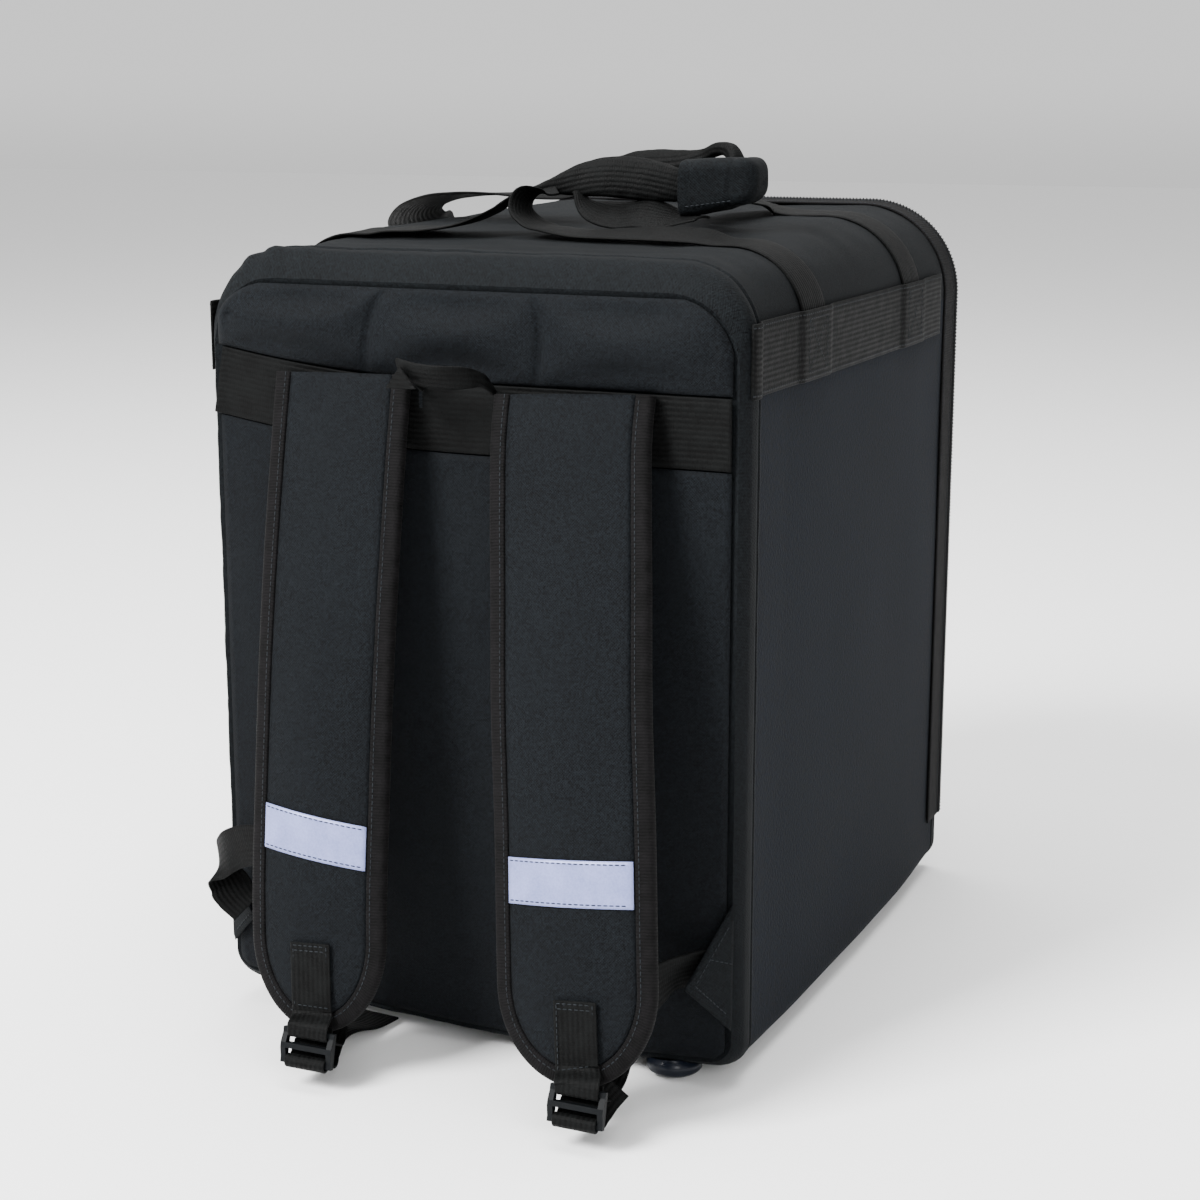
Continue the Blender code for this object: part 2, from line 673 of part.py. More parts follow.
def strap_stations(surface, inset):
    """Distances down a strap, closer together round its end."""
    end = surface.length - inset
    straight = list(np.linspace(0.0, end - STRAP_END + inset, 14))
    curve = STRAP_END - inset
    ends = [end - curve * (1 - math.sin(a)) for a in np.linspace(0, math.pi / 2, 9)[1:-1]]
    return straight + ends + [end - 0.15]


def build_strap(size):
    """Foam pad, binding, reflective tape and lower tab of one strap."""
    surface = StrapSurface(size.table, size.half)
    inner = BINDING + GAP
    rings = []
    for down in strap_stations(surface, inner):
        half = max(surface.half_at(down, inner), 1.5)
        top, bottom = [], []
        for u in (-1.0, -0.6, 0.0, 0.6, 1.0):
            thick = STRAP_EDGE_THICK + (STRAP_THICK - STRAP_EDGE_THICK) * (1 - u**2)
            top.append(surface.at(down, u * half, thick / 2))
            bottom.append(surface.at(down, u * half, -thick / 2))
        rings.append(top + bottom[::-1])
    add_rings("shoulder_strap_" + size.label, rings, CLOTH_BLACK)
    build_binding(size, surface)
    build_tape(size, surface)
    return surface


def build_binding(size, surface):
    """The folded binding tape that runs down, round and up the strap's edge."""
    outer = strap_stations(surface, 0.0)
    inner = strap_stations(surface, BINDING)
    edge = []
    for a, b in zip(outer, inner):
        edge.append((a, surface.half_at(a), b, surface.half_at(b, BINDING)))
    left = [(a, -wa, b, -wb) for a, wa, b, wb in edge]
    tip = (surface.length, 0.0, surface.length - BINDING, 0.0)
    stations = left + [tip] + [(a, wa, b, wb) for a, wa, b, wb in reversed(edge)]
    rings = []
    half = STRAP_EDGE_THICK / 2 + 0.6
    for a, wa, b, wb in stations:
        rings.append(
            [
                surface.at(a, wa, -half * 0.55),
                surface.at(a, wa, half * 0.55),
                surface.at(a + (b - a) * 0.25, wa + (wb - wa) * 0.25, half),
                surface.at(b, wb, half),
                surface.at(b, wb, -half),
                surface.at(a + (b - a) * 0.25, wa + (wb - wa) * 0.25, -half),
            ]
        )
    add_rings("strap_binding_" + size.label, rings, BINDING_BLACK)


def build_tape(size, surface):
    """The reflective tape across the strap's face, between its bindings."""
    half = size.half - BINDING - 2 * GAP
    rings = []
    for row in np.linspace(size.tape_from_top, size.tape_from_top + REFLECTIVE_BAND, 4):
        top, bottom = [], []
        for u in np.linspace(-1, 1, 7):
            down = row + size.tape_slope * u * half
            inside = half / (size.half - BINDING - GAP)
            thick = STRAP_EDGE_THICK + (STRAP_THICK - STRAP_EDGE_THICK) * (1 - (u * inside) ** 2)
            base = thick / 2 + GAP + 0.15
            top.append(surface.at(down, u * half, base + TAPE_THICK))
            bottom.append(surface.at(down, u * half, base))
        rings.append(top + bottom[::-1])
    add_rings("reflective_strip_" + size.label, rings, TAPE_GREY)


# Lower fittings


Frame = namedtuple("Frame", "centre width_dir down_dir out_dir")


def lock_frame(centre, down_dir, dip):
    """Axes of a ladder lock hanging under a strap, with its right end lower by `dip`."""
    down = unit(down_dir)
    width = np.array([1.0, 0.0, -dip])
    width = unit(width - np.dot(width, down) * down)
    out = np.cross(width, down)
    out = out if out[1] < 0 else -out
    return Frame(np.array(centre, float), width, down, out)


def in_frame(frame, u, v, n):
    """Point of a ladder lock from its width, down and out distances."""
    return frame.centre + frame.width_dir * u + frame.down_dir * v + frame.out_dir * n


def build_lock(label, frame):
    """Ladder lock: outer frame, a sewn bar, a raised lip and a lower bar."""
    outer_u, outer_v = LOCK_WIDTH / 2, LOCK_HEIGHT / 2
    rail = 3.2
    us = [-outer_u, rail - outer_u, outer_u - rail, outer_u]
    vs = [-outer_v, LOCK_BAR - outer_v, -LOCK_BAR / 2, LOCK_BAR / 2, outer_v - LOCK_BAR, outer_v]
    low, high = -LOCK_BAR / 2, LOCK_BAR / 2
    lift = (0.0, 0.0, 1.8, 1.8, 0.0, 0.0)
    points = []
    for base in (low, high):
        for v, up in zip(vs, lift):
            for u in us:
                points.append(in_frame(frame, u, v, base + (up if base > 0 else 0.0)))
    n, m = len(vs), len(us)
    size = n * m
    solid = {(i, j) for i in range(n - 1) for j in range(m - 1)} - {(1, 1), (3, 1)}
    faces = []
    for i, j in sorted(solid):
        a, b, c, d = i * m + j, i * m + j + 1, (i + 1) * m + j + 1, (i + 1) * m + j
        faces.append((size + a, size + b, size + c, size + d))
        faces.append((d, c, b, a))
        for (di, dj), (p, q) in (((-1, 0), (a, b)), ((0, 1), (b, c)), ((1, 0), (c, d)), ((0, -1), (d, a))):
            if (i + di, j + dj) not in solid:
                faces.append((p, q, size + q, size + p))
    add_piece("ladder_lock_" + label, points, faces, PLASTIC_BLACK)


def build_tab(label, surface, frame, shift, on_strap):
    """Webbing sewn on the strap, folded round the lock's upper bar."""
    start = surface.length - on_strap
    lift = STRAP_THICK / 2 + GAP + WEBBING_THICK / 2 + 0.65
    rows = [surface.at(down, shift, lift) for down in np.linspace(start, surface.length - 13.0, 7)]
    bar = -LOCK_HEIGHT / 2 + LOCK_BAR / 2
    around = [in_frame(frame, 0, bar - 3.0, LOCK_TURN)]
    for degrees in range(90, -91, -30):
        angle = math.radians(degrees)
        around.append(
            in_frame(frame, 0, bar + LOCK_TURN * math.cos(angle), LOCK_TURN * math.sin(angle))
        )
    around.append(in_frame(frame, 0, bar - 4.0, -LOCK_TURN))
    across = [surface.at(p, 1.0, 0.0) - surface.at(p, 0.0, 0.0) for p in (start, surface.length)]
    turns = [across[0]] * len(rows) + [frame.width_dir] * len(around)
    spots = [Spot(*p, *unit(a)) for p, a in zip(rows + around, turns)]
    add_free_ribbon("strap_tab_" + label, spots, NARROW_WEBBING, WEBBING_THICK, 46, WEBBING_BLACK)


ADJUSTER_RIGHT_START = (
    Spot(148.5, -11.0, 67.5, -0.50, -0.10, -0.86),
    Spot(141.0, -18.5, 67.5, -0.45, -0.05, -0.88),
    Spot(134.0, -32.0, 65.5, -0.10, 0.0, -1.0),
    Spot(127.0, -44.0, 59.0, 0.15, 0.0, -1.0),
    Spot(121.0, -54.0, 48.0, 0.60, -0.1, -0.75),
    Spot(116.5, -61.0, 33.0, 0.95, 0.0, -0.3),
    Spot(113.5, -67.0, 19.0, 1.0, 0.0, -0.1),
    Spot(111.8, -76.0, 14.0, 1.0, 0.0, -0.05),
)

ADJUSTER_LEFT_START = (
    Spot(-142.0, -16.5, 61.0, 0.10, 0.0, -1.0),
    Spot(-148.0, -18.0, 67.0, 0.20, 0.0, -1.0),
    Spot(-153.5, -20.5, 77.0, 0.20, 0.0, -1.0),
    Spot(-155.0, -25.0, 88.0, -0.10, 0.0, -1.0),
    Spot(-147.0, -30.0, 98.0, -0.15, 0.0, -1.0),
    Spot(-135.0, -33.0, 105.0, 0.0, 0.0, -1.0),
    Spot(-119.0, -36.0, 108.0, 0.0, 0.0, -1.0),
    Spot(-101.0, -40.0, 100.0, 0.45, 0.0, -1.0),
    Spot(-86.0, -46.0, 78.0, 0.9, 0.0, -0.7),
    Spot(-73.0, -52.5, 50.0, 1.0, 0.0, -0.4),
    Spot(-66.0, -57.0, 30.0, 1.0, 0.0, -0.1),
    Spot(-62.0, -62.0, 17.0, 1.0, 0.0, -0.1),
    Spot(-58.5, -71.0, 13.0, 1.0, 0.0, -0.1),
)

TAIL_RIGHT = (
    Spot(113.5, -86.0, 8.0, 1, 0.1, -0.05),
    Spot(117.0, -80.5, 16.0, 1, 0.3, -0.1),
    Spot(122.0, -75.0, 23.0, 1, 0.5, -0.1),
)

TAIL_LEFT = (
    Spot(-58.5, -78.0, 5.5, 1, 0, -0.08),
    Spot(-68.0, -54.0, 5.5, 1, 0.1, -0.02),
    Spot(-72.0, -30.0, 1.0, 1, 0.0, 0),
    Spot(-69.0, -10.0, -3.8, 1, 0.0, 0),
    Spot(-67.0, 10.0, -5.2, 1, 0, 0),
)


def build_adjuster(label, start, tail, frame):
    """Webbing from the corner tab, through the lock, with its loose end."""
    bar = LOCK_HEIGHT / 2 - LOCK_BAR / 2
    around = [in_frame(frame, 0, -2.0, -LOCK_TURN - 3.5)]
    for degrees in range(210, -91, -30):
        angle = math.radians(degrees)
        around.append(
            in_frame(frame, 0, bar + LOCK_TURN * math.cos(angle), LOCK_TURN * math.sin(angle))
        )
    around.append(in_frame(frame, 0, bar + 0.8, -LOCK_TURN - 3.0))
    around.append(in_frame(frame, 0, bar + 2.0, -LOCK_TURN - 7.5))
    spots = list(start) + [Spot(*p, *frame.width_dir) for p in around] + list(tail)
    add_free_ribbon(
        "adjuster_webbing_" + label, spots, NARROW_WEBBING, WEBBING_THICK, 96, WEBBING_BLACK
    )


def build_corner_tab(label, corners, thick):
    """Triangular cloth tab sewn into the lower back corner."""
    corners = np.array(corners)
    normal = unit(np.cross(corners[1] - corners[0], corners[2] - corners[0]))
    add_rings(
        "corner_tab_" + label,
        [corners - normal * thick / 2, corners + normal * thick / 2],
        CLOTH_BLACK,
    )


def underside(x, y):
    """Height of the tub's underside under the flat part of its bottom."""
    return body_section(y).low + lift_at(x, y) - 0.3


def build_feet():
    """Four domed feet under the tub's corners, their tops following its underside."""
    places = (
        ("foot_back_left", -FOOT_X, FOOT_BACK_Y),
        ("foot_back_right", FOOT_X, FOOT_BACK_Y),
        ("foot_front_left", -FOOT_X, FOOT_FRONT_Y),
        ("foot_front_right", FOOT_X, FOOT_FRONT_Y),
    )
    profile = ((-3.4, 1.0), (-5.4, 0.84), (-6.9, 0.62), (-7.8, 0.36), (-FOOT_HEIGHT, 0.2))
    turns = [-2 * math.pi * k / 20 for k in range(20)]
    for name, x, y in places:
        rim = [(x + FOOT_RADIUS * math.cos(t), y + FOOT_RADIUS * math.sin(t)) for t in turns]
        rings = []
        for part in (0.3, 0.66, 1.0):
            spots = [(x + (px - x) * part, y + (py - y) * part) for px, py in rim]
            rings.append([(px, py, underside(px, py) - GAP) for px, py in spots])
        for z, part in profile:
            reach = FOOT_RADIUS * part
            rings.append([(x + reach * math.cos(t), y + reach * math.sin(t), z) for t in turns])
        add_rings(name, rings, PLASTIC_BLACK, True)


# Scene


def clear_scene():
    """Removes whatever the startup scene holds."""
    for thing in list(bpy.data.objects):
        bpy.data.objects.remove(thing, do_unlink=True)


def make_material(name, color):
    """Plain material for one node."""
    material = bpy.data.materials.new(name)
    material.use_nodes = True
    shader = material.node_tree.nodes["Principled BSDF"]
    shader.inputs["Base Color"].default_value = color
    shader.inputs["Roughness"].default_value = 0.85
    material.diffuse_color = color
    return material


def outward(points, faces):
    """Turns all faces round when the solid is inside out."""
    volume = 0.0
    for face in faces:
        for i in range(1, len(face) - 1):
            a, b, c = points[face[0]], points[face[i]], points[face[i + 1]]
            volume += np.dot(a, np.cross(b, c))
    return faces if volume > 0 else [tuple(reversed(face)) for face in faces]


def put_in_scene():
    """Makes one object for each piece, standing on the origin."""
    everything = np.vstack([points for _, points, _, _, _ in pieces])
    low, high = everything.min(axis=0), everything.max(axis=0)
    base = np.array([(low[0] + high[0]) / 2, (low[1] + high[1]) / 2, low[2]])
    root = bpy.data.objects.new("delivery_backpack", None)
    bpy.context.scene.collection.objects.link(root)
    for name, points, faces, color, smooth in pieces:
        moved = (points - base) / 1000.0
        mesh = bpy.data.meshes.new(name)
        mesh.from_pydata([tuple(p) for p in moved], [], outward(moved, faces))
        mesh.validate()
        mesh.materials.append(make_material(name + "_finish", color))
        for polygon in mesh.polygons:
            polygon.use_smooth = smooth
        thing = bpy.data.objects.new(name, mesh)
        thing.parent = root
        bpy.context.scene.collection.objects.link(thing)
    print("moved by", base, "size", high - low)


def build():
    """Lays out every piece, then puts them in the scene."""
    build_shell()
    build_door()
    build_back_panel()
    build_side_bands()
    build_zip()
    build_handles()
    add_grip("grab_loop", GRAB_LOOP_PATH, 20, CLOTH_BLACK, 8)
    build_lower_and_straps()
    build_feet()
    put_in_scene()


def build_lower_and_straps():
    """Both straps with everything that hangs on them, and the corner tabs."""
    right = build_strap(StrapSize("right", STRAP_RIGHT, 47.0, 247.0, 0.0))
    left = build_strap(StrapSize("left", STRAP_LEFT, 42.5, 247.0, 0.13))
    right_lock = lock_frame((113.0, -99.5, 16.6), (0.0, -0.25, -0.97), 0.06)
    left_lock = lock_frame((-55.5, -92.5, 16.6), (0.0, -0.25, -0.97), 0.11)
    build_lock("right", right_lock)
    build_lock("left", left_lock)
    build_tab("right", right, right_lock, 3.5, TAB_ON_STRAP - 4.0)
    build_tab("left", left, left_lock, 0.0, TAB_ON_STRAP)
    build_adjuster("right", ADJUSTER_RIGHT_START, TAIL_RIGHT, right_lock)
    build_adjuster("left", ADJUSTER_LEFT_START, TAIL_LEFT, left_lock)
    build_corner_tab("right", ((162.0, -1.7, 103.0), (144.0, -27.0, 60.0), (162.0, -1.7, 29.0)), 2.4)
    build_corner_tab("left", ((-161.0, -2.6, 76.0), (-140.0, -11.5, 54.0), (-161.0, -2.6, 32.0)), 2.4)


clear_scene()
build()
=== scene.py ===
"""Looks of an insulated delivery backpack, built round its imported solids."""

import json
import logging
import math
from collections.abc import Callable, Sequence
from dataclasses import dataclass, field
from enum import Enum

import bpy
import bmesh
import numpy as np
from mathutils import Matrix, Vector, noise

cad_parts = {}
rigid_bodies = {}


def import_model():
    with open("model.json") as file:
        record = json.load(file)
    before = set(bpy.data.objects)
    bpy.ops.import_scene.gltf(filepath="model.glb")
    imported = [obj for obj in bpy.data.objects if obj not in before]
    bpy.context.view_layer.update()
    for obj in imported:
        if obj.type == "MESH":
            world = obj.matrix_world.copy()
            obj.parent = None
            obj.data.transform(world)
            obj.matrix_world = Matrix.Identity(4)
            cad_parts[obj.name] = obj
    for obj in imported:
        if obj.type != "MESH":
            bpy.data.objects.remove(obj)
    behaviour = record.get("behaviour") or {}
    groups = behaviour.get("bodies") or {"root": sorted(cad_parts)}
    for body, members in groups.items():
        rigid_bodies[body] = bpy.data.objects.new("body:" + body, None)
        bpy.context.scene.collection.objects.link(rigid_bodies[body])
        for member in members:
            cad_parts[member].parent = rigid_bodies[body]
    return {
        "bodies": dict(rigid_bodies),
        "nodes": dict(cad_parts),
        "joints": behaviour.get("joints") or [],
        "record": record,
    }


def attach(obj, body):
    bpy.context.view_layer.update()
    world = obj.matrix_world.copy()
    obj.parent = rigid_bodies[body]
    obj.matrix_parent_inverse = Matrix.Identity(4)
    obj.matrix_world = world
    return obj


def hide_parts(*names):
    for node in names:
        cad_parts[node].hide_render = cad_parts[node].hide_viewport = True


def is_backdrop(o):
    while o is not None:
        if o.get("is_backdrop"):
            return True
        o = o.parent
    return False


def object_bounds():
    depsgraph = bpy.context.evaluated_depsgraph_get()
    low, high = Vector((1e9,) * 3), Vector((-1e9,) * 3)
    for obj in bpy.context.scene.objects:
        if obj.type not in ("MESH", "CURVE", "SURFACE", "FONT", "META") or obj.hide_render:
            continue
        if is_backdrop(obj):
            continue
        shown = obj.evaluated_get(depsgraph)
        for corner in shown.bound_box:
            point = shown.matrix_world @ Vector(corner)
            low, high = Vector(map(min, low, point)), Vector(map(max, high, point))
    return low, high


LOG = logging.getLogger("delivery_backpack")

# Everything below is in the bag's own millimetres: x from its middle, y from the
# back panel, z from the underside. FRAME_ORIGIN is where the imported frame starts.
FRAME_ORIGIN = np.array([-6.20127, 154.79487, -8.0])

PANEL_WIDTH = 323.0
BODY_DEPTH = 415.0
DOOR_THICKNESS = 14.0
SEAM_TOP = 435.0
GAP = 0.3
STACK = 0.35
WEBBING_THICK = 1.4
WIDE_WEBBING = 40.0
HANDLE_WEBBING = 38.0
NARROW_WEBBING = 25.0
PANEL_HALF = PANEL_WIDTH / 2 - 3.5
SIDE_BAND_LOW = 380.0
SIDE_BAND_HIGH = SIDE_BAND_LOW + WIDE_WEBBING
FLAT_LIFT = GAP + 0.2 + WEBBING_THICK / 2
HANDLE_DEPTHS = (108.0, 300.0)
STRAP_END_CURVE = 54.0

# y, half width, underside, top, top radius, bottom radius
SECTIONS = (
    (0.0, 161.5, 1.5, 435.0, 40.0, 14.0),
    (3.0, 164.0, -0.3, 440.5, 42.0, 16.0),
    (8.0, 166.4, -1.4, 446.5, 44.0, 17.0),
    (14.0, 166.8, -1.8, 450.2, 45.0, 17.0),
    (19.0, 165.0, -1.2, 450.8, 43.0, 15.0),
    (24.0, 163.2, 0.0, 450.4, 42.0, 13.0),
    (110.0, 164.4, -0.6, 453.8, 43.0, 12.0),
    (210.0, 164.8, -0.8, 457.6, 46.0, 12.0),
    (310.0, 164.0, -0.6, 460.6, 52.0, 12.0),
    (415.0, 161.2, 0.6, 463.0, 59.0, 13.0),
)

# A point and its normal, or a row of points and their normals.
Spot = tuple[np.ndarray, np.ndarray]


# Small geometry


def unit(vector: np.ndarray) -> np.ndarray:
    """Scales a vector, or each row of an array, to length one."""
    vector = np.asarray(vector, float)
    return vector / np.maximum(np.linalg.norm(vector, axis=-1, keepdims=True), 1e-12)


def curve(a: np.ndarray, b: np.ndarray, leave: np.ndarray, arrive: np.ndarray, t: float) -> np.ndarray:
    """Cubic run from a to b.

    Args:
        a: where it starts.
        b: where it ends.
        leave: its slope over the whole run at a.
        arrive: its slope over the whole run at b.
        t: share of the run, from 0 to 1.

    Returns:
        The place at that share.
    """
    return (
        (2 * t**3 - 3 * t**2 + 1) * a
        + (t**3 - 2 * t**2 + t) * leave
        + (3 * t**2 - 2 * t**3) * b
        + (t**3 - t**2) * arrive
    )


def smooth_rows(rows: Sequence[Sequence[float]], count: int) -> np.ndarray:
    """Smooth curve through the rows of a table, closer where the table is.

    Args:
        rows: places, first three numbers of each row, with whatever goes with them.
        count: how many rows to give back.

    Returns:
        The rows along the curve.
    """
    rows = np.asarray(rows, float)
    steps = np.linalg.norm(np.diff(rows[:, :3], axis=0), axis=1)
    along = np.concatenate([[0.0], np.cumsum(steps)])
    slopes = np.gradient(rows, along, axis=0)
    share = (along / along[-1] + np.linspace(0.0, 1.0, len(along))) / 2
    out = []
    for value in np.interp(np.linspace(0.0, 1.0, count), share, along):
        i = min(int(np.searchsorted(along, value, side="right")) - 1, len(rows) - 2)
        span = along[i + 1] - along[i]
        t = (value - along[i]) / span
        out.append(curve(rows[i], rows[i + 1], span * slopes[i], span * slopes[i + 1], t))
    return np.array(out)


def rounded_interp(at: float, table: np.ndarray) -> np.ndarray:
    """Reads a table between its rows on a curve that never overshoots them.

    Args:
        at: value in the table's first column.
        table: rows sorted by their first column.

    Returns:
        The other columns at that value.
    """
    xs, ys = table[:, 0], table[:, 1:]
    at = float(np.clip(at, xs[0], xs[-1]))
    rate = np.diff(ys, axis=0) / np.diff(xs)[:, None]
    slopes = np.zeros_like(ys)
    a, b = rate[:-1], rate[1:]
    same = a * b > 0
    slopes[1:-1][same] = (2 * a * b)[same] / (a + b)[same]
    slopes[0], slopes[-1] = rate[0], rate[-1]
    i = min(int(np.searchsorted(xs, at, side="right")) - 1, len(xs) - 2)
    span = xs[i + 1] - xs[i]
    return curve(ys[i], ys[i + 1], span * slopes[i], span * slopes[i + 1], (at - xs[i]) / span)


def tangents(centres: np.ndarray) -> np.ndarray:
    """Unit direction of travel at each point of a path."""
    return unit(np.gradient(np.asarray(centres, float), axis=0))


def lengths_along(path: np.ndarray) -> np.ndarray:
    """Distance travelled at each point of a path."""
    steps = np.linalg.norm(np.diff(path, axis=0), axis=1)
    return np.concatenate([[0.0], np.cumsum(steps)])


def read_at(at: float | np.ndarray, along: np.ndarray, rows: np.ndarray) -> np.ndarray:
    """Reads rows of numbers between the distances that they stand at.

    Args:
        at: one distance, or many.
        along: the distance of each row.
        rows: the rows.

    Returns:
        One row, or a row for each distance.
    """
    return np.stack([np.interp(at, along, column) for column in rows.T], axis=-1)


def arc(cx: float, cz: float, radius: float, start: float, count: int) -> list[tuple[float, float]]:
    """Points on a quarter circle of a section.

    Args:
        cx: its centre across.
        cz: its centre's height.
        radius: its radius.
        start: degrees at its first point.
        count: how many points.

    Returns:
        The points, anticlockwise.
    """
    turns = np.radians(np.linspace(start, start + 90, count))
    return [(cx + radius * math.cos(a), cz + radius * math.sin(a)) for a in turns]


def between(a: Sequence[float], b: Sequence[float], count: int) -> list[tuple[float, float]]:
    """Points on the straight line from a to b, without its two ends."""
    return list(zip(np.linspace(a[0], b[0], count)[1:-1], np.linspace(a[1], b[1], count)[1:-1]))


def facing(spot: Spot, way: Sequence[float]) -> Spot:
    """Turns normals round where they look away from the given direction."""
    points, normals = spot
    return points, normals * np.sign(normals @ np.asarray(way, float))[..., None]


def grain(points: np.ndarray, size: float, seed: float) -> np.ndarray:
    """Smooth random height from -1 to 1 at each point.

    Args:
        points: places in millimetres, one row each.
        size: width of one bump in millimetres.
        seed: shifts the pattern, so that two pieces differ.

    Returns:
        One height for each point.
    """
    shift = Vector((seed * 7.13, seed * 3.71, seed * 5.37))
    return np.array([noise.noise(Vector(p) / size + shift) for p in np.reshape(points, (-1, 3))])


def grid_normals(grid: np.ndarray, closed: bool) -> np.ndarray:
    """Unit normals of a grid of points.

    Args:
        grid: points in rows and columns.
        closed: whether the last column runs on into the first.

    Returns:
        One normal for each point.
    """
    down = np.gradient(grid, axis=0)
    if closed:
        across = np.roll(grid, -1, axis=1) - np.roll(grid, 1, axis=1)
    else:
        across = np.gradient(grid, axis=1)
    return unit(np.cross(across, down))


# Pieces


class Piece:
    """Points, faces and cloth coordinates of one piece, gathered in millimetres."""

    def __init__(self, name: str) -> None:
        """Starts an empty piece.

        Args:
            name: its name in the exported model.
        """
        self.name = name
        self.points: list[np.ndarray] = []
        self.faces: list[tuple[int, ...]] = []
        self.corners: list[tuple[float, float]] = []
        self.finish_of: list[int] = []
        self.count = 0

    def grid(self, grid: np.ndarray, cloth: np.ndarray, closed: bool = False, finish: int = 0) -> int:
        """Adds a sheet of quads.

        Args:
            grid: points in rows and columns.
            cloth: millimetres across and along the cloth; one more column if closed.
            closed: whether the last column runs on into the first.
            finish: which of the piece's finishes it takes.

        Returns:
            The number of its first point.
        """
        n, m = grid.shape[:2]
        start = self.count
        self.points.append(grid.reshape(-1, 3))
        self.count += n * m
        i, j = np.mgrid[0 : n - 1, 0 : (m if closed else m - 1)]
        i, j = i.ravel(), j.ravel()
        k = (j + 1) % m
        quads = np.stack([i * m + j, i * m + k, (i + 1) * m + k, (i + 1) * m + j], axis=1) + start
        self.faces += [tuple(q) for q in quads.tolist()]
        corners = np.stack([cloth[i, j], cloth[i, j + 1], cloth[i + 1, j + 1], cloth[i + 1, j]], axis=1)
        self.corners += corners.reshape(-1, 2).tolist()
        self.finish_of += [finish] * len(quads)
        return start

    def face(self, loop: Sequence[int], cloth: np.ndarray, finish: int = 0) -> None:
        """Adds one face through points already there.

        Args:
            loop: numbers of its points, in order.
            cloth: cloth coordinates, a row for each point.
            finish: which of the piece's finishes it takes.
        """
        self.faces.append(tuple(int(v) for v in loop))
        self.corners += np.asarray(cloth, float).tolist()
        self.finish_of.append(finish)

    def tube(self, rings: np.ndarray, cloth: np.ndarray | None = None) -> None:
        """Adds a closed tube of rings with a flat cap at each end.

        Args:
            rings: points, a row for each ring.
            cloth: cloth coordinates with one more column, or None where no weave shows.
        """
        n, m = rings.shape[:2]
        if cloth is None:
            cloth = np.zeros((n, m + 1, 2))
        start = self.grid(rings, cloth, closed=True)
        first = list(range(start, start + m))
        last = list(range(start + (n - 1) * m, start + n * m))
        self.face(first[::-1], cloth[0, :m][::-1])
        self.face(last, cloth[-1, :m])

    def build(
        self, finishes: Sequence[bpy.types.Material], slot: str, nodes: Sequence[str] = ()
    ) -> bpy.types.Object:
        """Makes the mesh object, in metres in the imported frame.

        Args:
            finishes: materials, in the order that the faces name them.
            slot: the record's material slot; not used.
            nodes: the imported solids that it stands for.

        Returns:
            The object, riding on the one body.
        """
        points = (np.vstack(self.points) - FRAME_ORIGIN) / 1000
        mesh = bpy.data.meshes.new(self.name)
        mesh.from_pydata(points.tolist(), [], self.faces)
        layer = mesh.uv_layers.new(name="cloth")
        layer.data.foreach_set("uv", np.asarray(self.corners, np.float32).ravel() / 1000)
        for material in finishes:
            mesh.materials.append(material)
        mesh.polygons.foreach_set("material_index", self.finish_of)
        mesh.polygons.foreach_set("use_smooth", [True] * len(self.faces))
        mesh.update()
        obj = bpy.data.objects.new(self.name, mesh)
        bpy.context.scene.collection.objects.link(obj)
        shape = bmesh.new()
        shape.from_mesh(mesh)
        bmesh.ops.recalc_face_normals(shape, faces=shape.faces)
        shape.to_mesh(mesh)
        shape.free()
        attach(obj, "root")
        if nodes:
            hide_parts(*nodes)
        LOG.info("%s: %d faces", self.name, len(self.faces))
        return obj


def band_profile(width: float, thick: float, curl: float = 0.0) -> np.ndarray:
    """Section of a woven band, as rows of across and lift.

    Args:
        width: across the band.
        thick: through the band.
        curl: how far both edges lift from a flat band.

    Returns:
        The closed section, once round.
    """
    half, r = width / 2, thick / 2
    flat = np.linspace(-(half - r), half - r, 9)
    turn = np.radians([60.0, 20.0, -20.0, -60.0])
    top = [(a, r) for a in flat]
    right = [(half - r + r * math.cos(t), r * math.sin(t)) for t in turn]
    bottom = [(a, -r) for a in flat[::-1]]
    left = [(-(half - r) - r * math.cos(t), -r * math.sin(t)) for t in turn]
    profile = np.array(top + right + bottom + left)
    profile[:, 1] += curl * (profile[:, 0] / half) ** 4
    return profile


